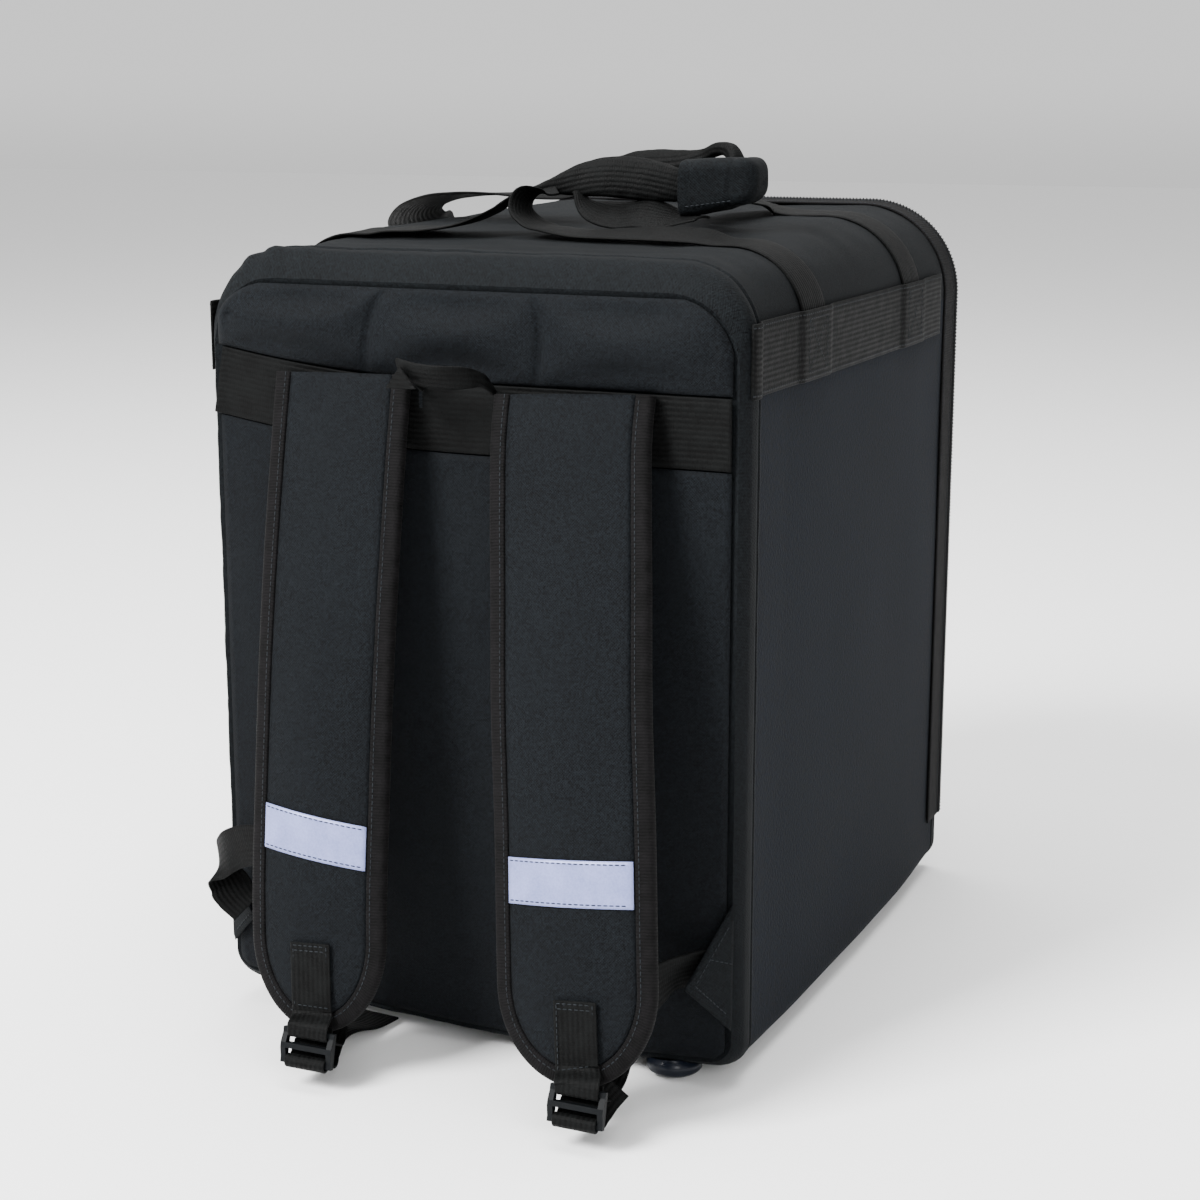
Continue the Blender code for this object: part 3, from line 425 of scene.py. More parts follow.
@dataclass
class Band:
    """A flat woven band that follows a path.

    Rows hold a place and the direction across the band at that place.
    """

    rows: np.ndarray
    width: float
    thick: float = WEBBING_THICK
    curl: float = 0.0
    end_share: float = 1.0
    taper: float = 34.0

    def __post_init__(self) -> None:
        """Works out the band's own axes along its path."""
        self.centres = self.rows[:, :3]
        run = tangents(self.centres)
        across = self.rows[:, 3:6]
        self.across = unit(across - np.sum(across * run, axis=1)[:, None] * run)
        self.normal = np.cross(run, self.across)
        self.along = lengths_along(self.centres)

    def build(self, name: str, finish: bpy.types.Material, slot: str, node: str) -> None:
        """Builds the band as one piece.

        Args:
            name: the piece's name.
            finish: its material.
            slot: the record's material slot.
            node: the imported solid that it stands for.
        """
        profile = band_profile(self.width, self.thick, self.curl)
        left = np.clip((self.along[-1] - self.along) / self.taper, 0, 1)
        share = self.end_share + (1 - self.end_share) * left * left * (3 - 2 * left)
        rings = (
            self.centres[:, None]
            + self.across[:, None] * profile[None, :, 0, None] * share[:, None, None]
            + self.normal[:, None] * profile[None, :, 1, None]
        )
        m = len(profile)
        cloth = np.zeros((len(rings), m + 1, 2))
        cloth[:, :m, 0] = profile[:, 0]
        cloth[:, m, 0] = profile[0, 0]
        cloth[:, :, 1] = self.along[:, None]
        piece = Piece(name)
        piece.tube(rings, cloth)
        piece.build([finish], slot, [node])

    def line(self, offset: float, lift: float) -> Spot:
        """Line along the band, `offset` across from its middle and `lift` out of it."""
        return self.centres + self.across * offset + self.normal * lift, self.normal

    def spot(self, along: float, offset: float, lift: float) -> Spot:
        """Point at a distance along the band, `offset` across and `lift` out of it."""
        points, normals = self.line(offset, lift)
        return read_at(along, self.along, points), read_at(along, self.along, normals)


# Share of a stitch's length, then its thickness there: it dives into the cloth at both ends.
STITCH = ((-0.5, 0.35), (-0.3, 0.9), (0.3, 0.9), (0.5, 0.35))


@dataclass
class Thread:
    """Sewing thread, laid as a row of separate stitches."""

    pitch: float = 3.3
    length: float = 2.4
    width: float = 0.75
    height: float = 0.48
    proud: float = 0.06
    piece: Piece = field(default_factory=lambda: Piece("stitching"))
    sewn: int = 0

    def lay(self, line: np.ndarray, normals: np.ndarray) -> None:
        """Sews stitches along a line.

        Args:
            line: points of the seam.
            normals: the cloth's normal at each point.
        """
        along = lengths_along(line)
        if along[-1] < self.length:
            return
        run = tangents(line)
        for middle in np.arange(self.length / 2, along[-1] - self.length / 2 + 0.01, self.pitch):
            centre, out = read_at(middle, along, line), unit(read_at(middle, along, normals))
            forward = unit(read_at(middle, along, run))
            side = np.cross(forward, out)
            rings = []
            for part, size in STITCH:
                ring = [
                    centre
                    + forward * part * self.length
                    + side * math.cos(a) * self.width / 2 * size
                    + out * (math.sin(a) * self.height / 2 * size + self.proud)
                    for a in np.radians([0.0, 90.0, 180.0, 270.0])
                ]
                rings.append(ring)
            self.piece.tube(np.array(rings))
            self.sewn += 1

    def across(self, spots: Sequence[Spot], steps: int = 12) -> None:
        """Sews straight from spot to spot.

        Args:
            spots: the places that it turns at.
            steps: points on each straight run.
        """
        for (a, na), (b, nb) in zip(spots, spots[1:]):
            t = np.linspace(0, 1, steps)[:, None]
            self.lay(a + (b - a) * t, na + (nb - na) * t)


# Finishes


def linear(code: str) -> tuple[float, float, float, float]:
    """Turns an sRGB colour into a linear one.

    Args:
        code: its hex code, such as #1c2024.

    Returns:
        Linear red, green and blue, and an alpha of 1.
    """
    values = [int(code[i : i + 2], 16) / 255 for i in (1, 3, 5)]
    low = [v / 12.92 if v <= 0.04045 else ((v + 0.055) / 1.055) ** 2.4 for v in values]
    return (*low, 1.0)


def add_node(
    tree: bpy.types.NodeTree, kind: str, links: dict | None = None, **settings: object
) -> bpy.types.Node:
    """Adds one shader node.

    Args:
        tree: the material's node tree.
        kind: Blender's name for the node.
        links: input name or number to a socket to link, or to a plain value.
        settings: the node's own properties.

    Returns:
        The node.
    """
    node = tree.nodes.new(kind)
    for key, value in settings.items():
        setattr(node, key, value)
    for key, value in (links or {}).items():
        if isinstance(value, bpy.types.NodeSocket):
            tree.links.new(value, node.inputs[key])
        else:
            node.inputs[key].default_value = value
    return node


def blank_material(name: str) -> bpy.types.Material:
    """Starts a material that has no nodes yet.

    Args:
        name: what the real one is and how it was made.

    Returns:
        The material.
    """
    material = bpy.data.materials.new(name)
    material.use_nodes = True
    material.node_tree.nodes.clear()
    return material


class Weave(Enum):
    """How a cloth is woven."""

    PLAIN = "plain"
    RIBBED = "ribbed"
    GROSGRAIN = "grosgrain"
    FELTED = "felted"


@dataclass(frozen=True)
class ClothFinish:
    """A dyed woven cloth: its colour, weave and how it takes the light.

    Pitch, rib, relief, mottle and wear are millimetres on the real cloth. The tones
    between tone_low and tone_high run from the dark colour to the light one.
    """

    name: str
    dark: str
    light: str
    weave: Weave
    pitch: float
    rib: float = 3.0
    relief: float = 0.12
    mottle: float = 6.0
    wear: float = 71.43
    tone_low: float = 1.25
    tone_high: float = 2.05
    roughness: float = 0.72
    sheen: float = 0.008
    specular: float = 0.05

    def make(self) -> bpy.types.Material:
        """Builds the material.

        Returns:
            The material, whose weave follows the piece's own cloth coordinates.
        """
        material = blank_material(self.name)
        tree = material.node_tree
        place = add_node(tree, "ShaderNodeUVMap", uv_map="cloth")
        split = add_node(tree, "ShaderNodeSeparateXYZ", {0: place.outputs[0]})
        where = add_node(tree, "ShaderNodeTexCoord")
        height = self._threads(tree, split.outputs[0], split.outputs[1], place.outputs[0])
        blotch = add_node(
            tree, "ShaderNodeTexNoise",
            {"Vector": where.outputs["Object"], "Scale": 1000 / self.mottle, "Detail": 4.0, "Roughness": 0.6},
        )
        wide = add_node(
            tree, "ShaderNodeTexNoise",
            {"Vector": where.outputs["Object"], "Scale": 1000 / self.wear, "Detail": 2.0},
        )
        patch = add_node(
            tree, "ShaderNodeMapRange", {"Value": wide.outputs[0], "To Min": 0.4, "To Max": 0.6}
        )
        both = add_node(
            tree, "ShaderNodeMath",
            {0: blotch.outputs[0], 1: 1.7, 2: patch.outputs[0]},
            operation="MULTIPLY_ADD",
        )
        tone = add_node(
            tree, "ShaderNodeMath", {0: height, 1: 0.6, 2: both.outputs[0]}, operation="MULTIPLY_ADD"
        )
        spread = add_node(
            tree, "ShaderNodeMapRange",
            {"Value": tone.outputs[0], "From Min": self.tone_low, "From Max": self.tone_high},
        )
        color = add_node(
            tree, "ShaderNodeMix",
            {"Factor": spread.outputs[0], 6: linear(self.dark), 7: linear(self.light)},
            data_type="RGBA",
        )
        rough = add_node(
            tree, "ShaderNodeMapRange",
            {"Value": spread.outputs[0], "To Min": self.roughness - 0.07, "To Max": self.roughness + 0.08},
        )
        bump = add_node(
            tree, "ShaderNodeBump",
            {"Height": height, "Strength": 0.8, "Distance": self.relief / 1000},
        )
        soft = add_node(
            tree, "ShaderNodeBump",
            {"Height": blotch.outputs[0], "Strength": 0.5, "Distance": 0.0007, "Normal": bump.outputs[0]},
        )
        shader = add_node(
            tree, "ShaderNodeBsdfPrincipled",
            {
                "Base Color": color.outputs[2],
                "Roughness": rough.outputs[0],
                "Normal": soft.outputs[0],
                "Sheen Weight": self.sheen,
                "Sheen Roughness": 0.5,
                "Specular IOR Level": self.specular,
                "IOR": 1.5,
            },
        )
        add_node(tree, "ShaderNodeOutputMaterial", {"Surface": shader.outputs[0]})
        return material

    def _threads(
        self, tree: bpy.types.NodeTree, across: bpy.types.NodeSocket, along: bpy.types.NodeSocket,
        place: bpy.types.NodeSocket,
    ) -> bpy.types.NodeSocket:
        """Height of the threads from 0 to 1.

        Args:
            tree: the material's node tree.
            across: metres across the cloth.
            along: metres along the cloth.
            place: both together.

        Returns:
            The socket that gives the height.
        """
        fuzz = add_node(
            tree, "ShaderNodeTexNoise", {"Vector": place, "Scale": 900 / self.pitch, "Detail": 2.0}
        )
        if self.weave is Weave.PLAIN:
            both = add_node(
                tree, "ShaderNodeMath",
                {0: self._wave(tree, across, self.pitch * 2), 1: self._wave(tree, along, self.pitch * 2)},
                operation="MULTIPLY",
            )
            parts = (both.outputs[0], 0.30)
        elif self.weave is Weave.RIBBED:
            fine, ribs = self._wave(tree, along, self.pitch), self._wave(tree, across, self.rib)
            both = add_node(tree, "ShaderNodeMath", {0: fine, 1: 0.35, 2: ribs}, operation="MULTIPLY_ADD")
            parts = (both.outputs[0], 0.34)
        elif self.weave is Weave.GROSGRAIN:
            parts = (self._wave(tree, along, self.rib), 0.38)
        else:
            parts = (fuzz.outputs[0], 0.0)
        base = add_node(
            tree, "ShaderNodeMath", {0: parts[0], 1: parts[1], 2: fuzz.outputs[0]}, operation="MULTIPLY_ADD"
        )
        return base.outputs[0]

    @staticmethod
    def _wave(
        tree: bpy.types.NodeTree, value: bpy.types.NodeSocket, pitch: float
    ) -> bpy.types.NodeSocket:
        """A ripple along one direction of the cloth.

        Args:
            tree: the material's node tree.
            value: metres in that direction.
            pitch: millimetres from crest to crest.

        Returns:
            The socket that gives the ripple, from -1 to 1.
        """
        angle = add_node(
            tree, "ShaderNodeMath", {0: value, 1: 2 * math.pi * 1000 / pitch}, operation="MULTIPLY"
        )
        return add_node(tree, "ShaderNodeMath", {0: angle.outputs[0]}, operation="SINE").outputs[0]


@dataclass(frozen=True)
class TapeFinish:
    """Retroreflective tape: glass beads in a satin grey film."""

    name: str = "retroreflective_film"
    light: str = "#8b93c4"
    dark: str = "#666e9b"

    def make(self) -> bpy.types.Material:
        """Builds the material.

        Returns:
            The material: a faint honeycomb of beads under a satin film.
        """
        material = blank_material(self.name)
        tree = material.node_tree
        place = add_node(tree, "ShaderNodeUVMap", uv_map="cloth")
        beads = add_node(tree, "ShaderNodeTexVoronoi", {"Vector": place.outputs[0], "Scale": 900.0})
        haze = add_node(
            tree, "ShaderNodeTexNoise", {"Vector": place.outputs[0], "Scale": 70.0, "Detail": 4.0}
        )
        mix = add_node(
            tree, "ShaderNodeMath",
            {0: beads.outputs[0], 1: 0.35, 2: haze.outputs[0]},
            operation="MULTIPLY_ADD",
        )
        color = add_node(
            tree, "ShaderNodeMix",
            {"Factor": mix.outputs[0], 6: linear(self.light), 7: linear(self.dark)},
            data_type="RGBA",
        )
        bump = add_node(
            tree, "ShaderNodeBump", {"Height": mix.outputs[0], "Strength": 0.35, "Distance": 0.0002}
        )
        shader = add_node(
            tree, "ShaderNodeBsdfPrincipled",
            {
                "Base Color": color.outputs[2],
                "Roughness": 0.42,
                "Normal": bump.outputs[0],
                "Sheen Weight": 0.1,
                "IOR": 1.5,
                "Metallic": 0.15,
            },
        )
        add_node(tree, "ShaderNodeOutputMaterial", {"Surface": shader.outputs[0]})
        return material


@dataclass(frozen=True)
class PlasticFinish:
    """A plastic with a fine surface: the buckles, the feet, the zip's coil and the thread."""

    name: str
    dark: str
    light: str
    roughness: float = 0.32
    grain_mm: float = 0.8
    relief: float = 0.03
    coat: float = 0.0
    specular: float = 0.3

    def make(self) -> bpy.types.Material:
        """Builds the material.

        Returns:
            The material, with a fine grain and faint handling marks.
        """
        material = blank_material(self.name)
        tree = material.node_tree
        where = add_node(tree, "ShaderNodeTexCoord")
        fine = add_node(
            tree, "ShaderNodeTexNoise",
            {"Vector": where.outputs["Object"], "Scale": 1000 / self.grain_mm, "Detail": 3.0},
        )
        marks = add_node(
            tree, "ShaderNodeTexNoise", {"Vector": where.outputs["Object"], "Scale": 90.0, "Detail": 5.0}
        )
        color = add_node(
            tree, "ShaderNodeMix",
            {"Factor": marks.outputs[0], 6: linear(self.dark), 7: linear(self.light)},
            data_type="RGBA",
        )
        rough = add_node(
            tree, "ShaderNodeMapRange",
            {"Value": marks.outputs[0], "To Min": self.roughness - 0.08, "To Max": self.roughness + 0.10},
        )
        bump = add_node(
            tree, "ShaderNodeBump",
            {"Height": fine.outputs[0], "Strength": 0.4, "Distance": self.relief / 1000},
        )
        shader = add_node(
            tree, "ShaderNodeBsdfPrincipled",
            {
                "Base Color": color.outputs[2],
                "Roughness": rough.outputs[0],
                "Normal": bump.outputs[0],
                "IOR": 1.49,
                "Specular IOR Level": self.specular,
                "Coat Weight": self.coat,
                "Coat Roughness": 0.08,
            },
        )
        add_node(tree, "ShaderNodeOutputMaterial", {"Surface": shader.outputs[0]})
        return material


class Wardrobe:
    """Every finish of the bag, made once."""

    def __init__(self) -> None:
        """Builds the materials."""
        # 600-denier polyester in plain weave: dull, nearly black, with a faint blue cast.
        # Its real thread is 0.5 mm; it is drawn at 0.9 mm, or it wouldn't show.
        self.polyester = ClothFinish(
            "polyester_600d_plain_weave", "#020203", "#121517", Weave.PLAIN, 0.9, mottle=1.6, relief=0.22
        ).make()
        # The side panels' brushed polyester: bluer, softly mottled like felt.
        self.brushed = ClothFinish(
            "brushed_polyester_side", "#010203", "#0c121b", Weave.FELTED, 1.5,
            relief=0.35, mottle=2.4, roughness=0.9, sheen=0.02, specular=0.06,
        ).make()
        # Padded polyester over foam on the back and straps, a little smoother and tighter.
        self.padding = ClothFinish(
            "polyester_over_foam", "#020203", "#121518", Weave.PLAIN, 0.8, mottle=1.5, relief=0.22
        ).make()
        # Polypropylene webbing, woven in ribs 3 mm apart that catch thin lines of light.
        self.webbing = ClothFinish(
            "polypropylene_webbing", "#010101", "#090a0a", Weave.RIBBED, 1.4, rib=3.0,
            relief=0.35, mottle=9.0, roughness=0.62, sheen=0.005, specular=0.06,
        ).make()
        # Grosgrain binding tape, ribbed across itself, a warmer and deader black.
        self.binding = ClothFinish(
            "polypropylene_grosgrain_binding", "#040404", "#0f0e0f", Weave.GROSGRAIN, 1.0, rib=1.7,
            relief=0.25, mottle=8.0, roughness=0.75, sheen=0.01,
        ).make()
        # Bonded nylon thread, slightly shinier than the cloth it holds.
        self.thread = PlasticFinish(
            "bonded_nylon_thread", "#0e1012", "#212529", 0.6, 0.5, 0.02, specular=0.12
        ).make()
        # Retroreflective film: pale violet grey, even and satin, the one light thing on the bag.
        self.tape = TapeFinish().make()
        # Acetal buckles: moulded, dark grey, with a soft gloss along each bar.
        self.acetal = PlasticFinish(
            "moulded_acetal", "#050607", "#0e1012", 0.5, 0.7, 0.02, specular=0.08
        ).make()
        # Polyester zip coil, fine and slightly glossy.
        self.coil = PlasticFinish(
            "polyester_zip_coil", "#060607", "#121315", 0.5, 0.6, 0.02, specular=0.15
        ).make()
        # Moulded polypropylene feet: navy black and smooth, with a soft highlight on each dome.
        self.feet = PlasticFinish(
            "moulded_polypropylene_foot", "#0a0d14", "#151a24", 0.34, 1.5, 0.01, 0.08, 0.16
        ).make()


# The tub


class TubShape:
    """The tub's outline at any depth, from the same table as the solids."""

    def __init__(self) -> None:
        """Reads the table of sections."""
        self.table = np.array(SECTIONS)

    def plain(self, y: float) -> np.ndarray:
        """Half width, underside, top and two radii, on straight lines between sections."""
        return read_at(y, self.table[:, 0], self.table[:, 1:])

    def rounded(self, y: float) -> np.ndarray:
        """The same on a smooth curve."""
        return rounded_interp(y, self.table)

    def lift(self, x: float, y: float) -> float:
        """How far the underside climbs towards the two lower back corners."""
        near = max(1 - y / 45.0, 0.0) ** 2
        return 12.0 * ((x - 25.0) / (PANEL_WIDTH / 2 + 15)) ** 2 * near

    def outline(self, section: np.ndarray, y: float, inset: float = 0.0) -> np.ndarray:
        """Points (x, z) round a section, with the same count for each section.

        Args:
            section: half width, underside, top and two radii.
            y: depth of the section.
            inset: how far the loop is drawn in.

        Returns:
            The loop, anticlockwise from the lower right.
        """
        half, low, high, top_r, low_r = section
        half, low, high = half - inset, low + inset, high - inset
        top_r, low_r = max(top_r - inset, 2.0), max(low_r - inset, 2.0)
        corners = [
            arc(half - low_r, low + low_r, low_r, -90, 9),
            arc(half - top_r, high - top_r, top_r, 0, 22),
            arc(top_r - half, high - top_r, top_r, 90, 22),
            arc(low_r - half, low + low_r, low_r, 180, 9),
        ]
        counts = (110, 70, 110, 64)
        points: list[tuple[float, float]] = []
        for corner, following, count in zip(corners, corners[1:] + corners[:1], counts):
            points += corner + between(corner[-1], following[0], count)
        climb = low_r + 40.0
        return np.array(
            [(x, z + self.lift(x, y) * max(1 - (z - low) / climb, 0.0)) for x, z in points]
        )

    def edge_path(self, y: float, side: int, from_x: float, to_z: float, lift: float) -> np.ndarray:
        """Line from the top face over the rounded edge and down a side.

        Args:
            y: its depth.
            side: 1 for the right side, -1 for the left.
            from_x: how far from the bag's middle it starts on top.
            to_z: height at its end.
            lift: how far it runs off the tub.

        Returns:
            The points.
        """
        half, _, high, top_r, _ = self.plain(y)
        path = [(x, high + lift) for x in np.linspace(from_x, half - top_r, 4)[:-1]]
        path += arc(half - top_r, high - top_r, top_r + lift, 0, 9)[::-1]
        path += [(half + lift, z) for z in np.linspace(high - top_r, to_z, 4)[1:]]
        return np.array([(side * x, y, z) for x, z in path])


SHAPE = TubShape()


@dataclass
class Tub:
    """The padded tub: side, top and bottom panels, the puffed edge roll and the back wall."""

    depth: float = BODY_DEPTH - DOOR_THICKNESS - GAP
    roll: float = 24.0
    pucker: float = 0.55
    sag: float = 1.1
    side_from: float = 155.0

    def build(self, finishes: Wardrobe) -> None:
        """Lofts the skin and closes both ends.

        Args:
            finishes: the bag's finishes.
        """
        depths = np.concatenate([np.arange(0.0, 30.0, 1.0), np.arange(30.0, self.depth, 4.0), [self.depth]])
        grid = np.array(
            [[(x, y, z) for x, z in SHAPE.outline(SHAPE.rounded(y), y)] for y in depths]
        )
        around = lengths_along(np.vstack([grid[20], grid[20][:1]]))
        normals = -grid_normals(grid, True)
        if np.mean(normals[40, :, 2] * (grid[40, :, 2] - 225)) < 0:
            normals = -normals
        grid = grid + normals * self._relief(grid)[..., None]
        piece = Piece("tub_skin")
        cloth = np.zeros((len(depths), grid.shape[1] + 1, 2))
        cloth[:, :, 0] = around[None, :]
        cloth[:, :, 1] = depths[:, None]
        piece.grid(grid, cloth, closed=True)
        self._mark_sides(piece, grid)
        self._close(piece, grid[0], 3.0, 1.2)
        self._close(piece, grid[-1], 10.0, -0.4)
        piece.build([finishes.polyester, finishes.brushed], "woven_polyester", ["shell"])

    def _relief(self, grid: np.ndarray) -> np.ndarray:
        """Puckers along the roll, its seam, soft creases on top and the sides' slack.

        Args:
            grid: the smooth skin.

        Returns:
            Height to add along the normals.
        """
        flat = grid.reshape(-1, 3)
        y = flat[:, 1]
        x, z = flat[:, 0], flat[:, 2]
        near = np.exp(-(((y - 2.0) / 9.0) ** 2)) + 0.8 * np.exp(-(((y - self.roll) / 6.0) ** 2))
        stretched = flat * np.array([1.0, 0.22, 1.0])
        fine = grain(stretched, 7.0, 1.0)
        broad = grain(stretched, 19.0, 2.0)
        corner = np.exp(-(((x + 128) / 26) ** 2 + ((z - 446) / 16) ** 2 + ((y - 10) / 12) ** 2))
        relief = near * self.pucker * (0.55 * fine + 0.8 * broad) * (1 + 3.2 * corner)
        # Deep folds where the roll turns the upper left corner.
        fold = np.sin((x * 0.75 + z * 0.66) / 2.6)
        relief += corner * 1.5 * fold
        # The seam at the far side of the roll: a narrow groove beside a thin raised ridge.
        relief -= 1.3 * np.exp(-(((y - self.roll + 1.5) / 1.3) ** 2))
        relief += 0.9 * np.exp(-(((y - self.roll - 1.5) / 1.5) ** 2))
        top = np.clip((z - 430) / 15, 0, 1)
        long_crease = grain(flat * np.array([0.16, 1.0, 0.3]), 17.0, 5.0)
        relief += top * np.exp(-(((y - 45) / 45) ** 2)) * 2.3 * long_crease
        relief += top * (1.3 * grain(flat, 55.0, 6.0) + 0.5 * grain(flat, 20.0, 7.0))
        relief += (1 - top) * np.clip((y - 30) / 40, 0, 1) * self.sag * grain(flat, 110.0, 8.0)
        return relief.reshape(grid.shape[:2])

    def _mark_sides(self, piece: Piece, grid: np.ndarray) -> None:
        """Gives the side panels below the band their brushed cloth.

        Args:
            piece: the skin, with its faces in place.
            grid: its points.
        """
        n, m = grid.shape[:2]
        for i in range(n - 1):
            for j in range(m):
                x, y, z = grid[i, j]
                if y > self.roll + 2.5 and abs(x) > self.side_from and z < SIDE_BAND_LOW + WIDE_WEBBING / 2:
                    piece.finish_of[i * m + j] = 1

    def _close(self, piece: Piece, loop: np.ndarray, inset: float, push: float) -> None:
        """Closes an end with a rim and one flat face inside it.

        Args:
            piece: the skin.
            loop: its last ring of points.
            inset: how wide the rim is.
            push: how far the flat face stands further back.
        """
        middle = loop.mean(axis=0)
        away = loop - middle
        reach = np.linalg.norm(away, axis=1, keepdims=True)
        inner = middle + away * (1 - inset / reach) + np.array([0.0, push, 0.0])
        rings = np.array([loop, inner])
        cloth = np.dstack([rings[:, :, 0], rings[:, :, 2]])
        cloth = np.concatenate([cloth, cloth[:, :1]], axis=1)
        start = piece.grid(rings, cloth, closed=True)
        m = len(loop)
        piece.face(range(start + m, start + 2 * m), inner[:, [0, 2]])


@dataclass
class Door:
    """The padded front panel behind the zip."""

    crown: float = 1.5

    def build(self, finishes: Wardrobe) -> None:
        """Builds the door with soft edges and a slightly full face.

        Args:
            finishes: the bag's finishes.
        """
        back = BODY_DEPTH - DOOR_THICKNESS
        # Depth of each ring of the door's edge, then how far it is drawn in.
        plan = [(back, 0.6), (back + 0.8, 0.1)]
        plan += [(back + t, 0.0) for t in (3.0, 6.0, 8.5)]
        plan += [(BODY_DEPTH - t, inset) for t, inset in ((4.4, 0.2), (2.6, 0.9), (1.2, 2.2), (0.4, 4.2))]
        rings = [[(x, y, z) for x, z in SHAPE.outline(SHAPE.rounded(y), y, inset)] for y, inset in plan]
        outer = np.array(rings[-1])
        middle = np.array([0.0, BODY_DEPTH, 232.0])
        for share in (0.985, 0.96, 0.93, 0.88, 0.8, 0.68, 0.5, 0.3, 0.1):
            ring = middle + (outer - middle) * share
            ring[:, 1] = BODY_DEPTH - 0.4 + 0.4 * min((1 - share) / 0.05, 1.0)
            ring[:, 1] -= self.crown * 0.5 * math.exp(-(((share - 0.94) / 0.02) ** 2))
            rings.append(ring.tolist())
        grid = np.array(rings)
        grid[9:, :, 1] += 0.35 * grain(grid[9:], 70.0, 11.0).reshape(grid[9:].shape[:2])
        cloth = np.dstack([grid[:, :, 0], grid[:, :, 2]])
        edge = lengths_along(grid[2])
        for k in range(8):
            cloth[k] = np.stack([edge, grid[k, :, 1]], axis=1)
        cloth = np.concatenate([cloth, cloth[:, :1]], axis=1)
        piece = Piece("door_panel")
        start = piece.grid(grid, cloth, closed=True)
        m = grid.shape[1]
        piece.face(range(start + (len(rings) - 1) * m, start + len(rings) * m), grid[-1][:, [0, 2]])
        piece.face(list(range(start, start + m))[::-1], grid[0][:, [0, 2]][::-1])
        piece.build([finishes.polyester], "woven_polyester", ["front_door"])


# Padding on the back


def webbing_low(x: float) -> float:
    """Lower edge of the back webbing, which climbs towards the left seam."""
    return 342.0 + 14.0 * (max(-x, 0.0) / PANEL_HALF) ** 2


def pad_half(z: float) -> float:
    """Half width of the back panel's field, 2 mm inside the tub's edge.

    Args:
        z: height on the panel.

    Returns:
        Millimetres from the middle to the edge.
    """
    margin = 2.0
    half, low, high, top_r, low_r = SHAPE.plain(0.0) + margin * np.array([-1, 1, -1, -1, -1])
    width = half
    if z > high - top_r:
        over = min(z - (high - top_r), top_r)
        width = half - top_r + math.sqrt(max(top_r**2 - over**2, 0.0))
    if z < low + low_r:
        under = min(low + low_r - z, low_r)
        width = half - low_r + math.sqrt(max(low_r**2 - under**2, 0.0))
    return min(width, PANEL_HALF)


def inflate(obj: bpy.types.Object, sewn: Sequence[int], reach: float) -> None:
    """Puffs a stitched pad out with a short cloth simulation and keeps the shape.

    Args:
        obj: the pad, a closed mesh in metres.
        sewn: numbers of the points that stitches hold still.
        reach: how far the furthest point may move, in metres.
    """
    frames, most_scale = 20, 12.0
    mesh = obj.data
    before = np.zeros(len(mesh.vertices) * 3)
    mesh.vertices.foreach_get("co", before)
    before = before.reshape(-1, 3)
    group = obj.vertex_groups.new(name="sewn")
    group.add([int(v) for v in sewn], 1.0, "REPLACE")
    cloth = obj.modifiers.new("cloth", "CLOTH")
    cloth.settings.quality = 6
    cloth.settings.mass = 0.3
    cloth.settings.tension_stiffness = 20
    cloth.settings.compression_stiffness = 20
    cloth.settings.shear_stiffness = 6
    cloth.settings.bending_stiffness = 2.0
    cloth.settings.air_damping = 2
    cloth.settings.vertex_group_mass = "sewn"
    cloth.settings.use_pressure = True
    cloth.settings.uniform_pressure_force = 6.0
    cloth.settings.effector_weights.gravity = 0.0
    cloth.collision_settings.use_collision = False
    cloth.point_cache.frame_start = 1
    cloth.point_cache.frame_end = frames
    scene = bpy.context.scene
    for frame in range(1, frames + 1):
        scene.frame_set(frame)
    ended = obj.evaluated_get(bpy.context.evaluated_depsgraph_get())
    after = np.zeros(len(mesh.vertices) * 3)
    ended.data.vertices.foreach_get("co", after)
    obj.modifiers.remove(cloth)
    obj.vertex_groups.clear()
    scene.frame_set(1)
    moved = after.reshape(-1, 3) - before
    far = np.linalg.norm(moved, axis=1)
    scale = reach / max(float(np.percentile(far, 99.5)), 1e-6)
    moved *= min(scale, most_scale)
    far = np.linalg.norm(moved, axis=1, keepdims=True)
    moved *= np.minimum(1.0, reach * 1.15 / np.maximum(far, 1e-9))
    mesh.vertices.foreach_set("co", (before + moved).ravel())
    mesh.update()
    LOG.info("%s puffed by %.1f mm", obj.name, 1000 * reach)


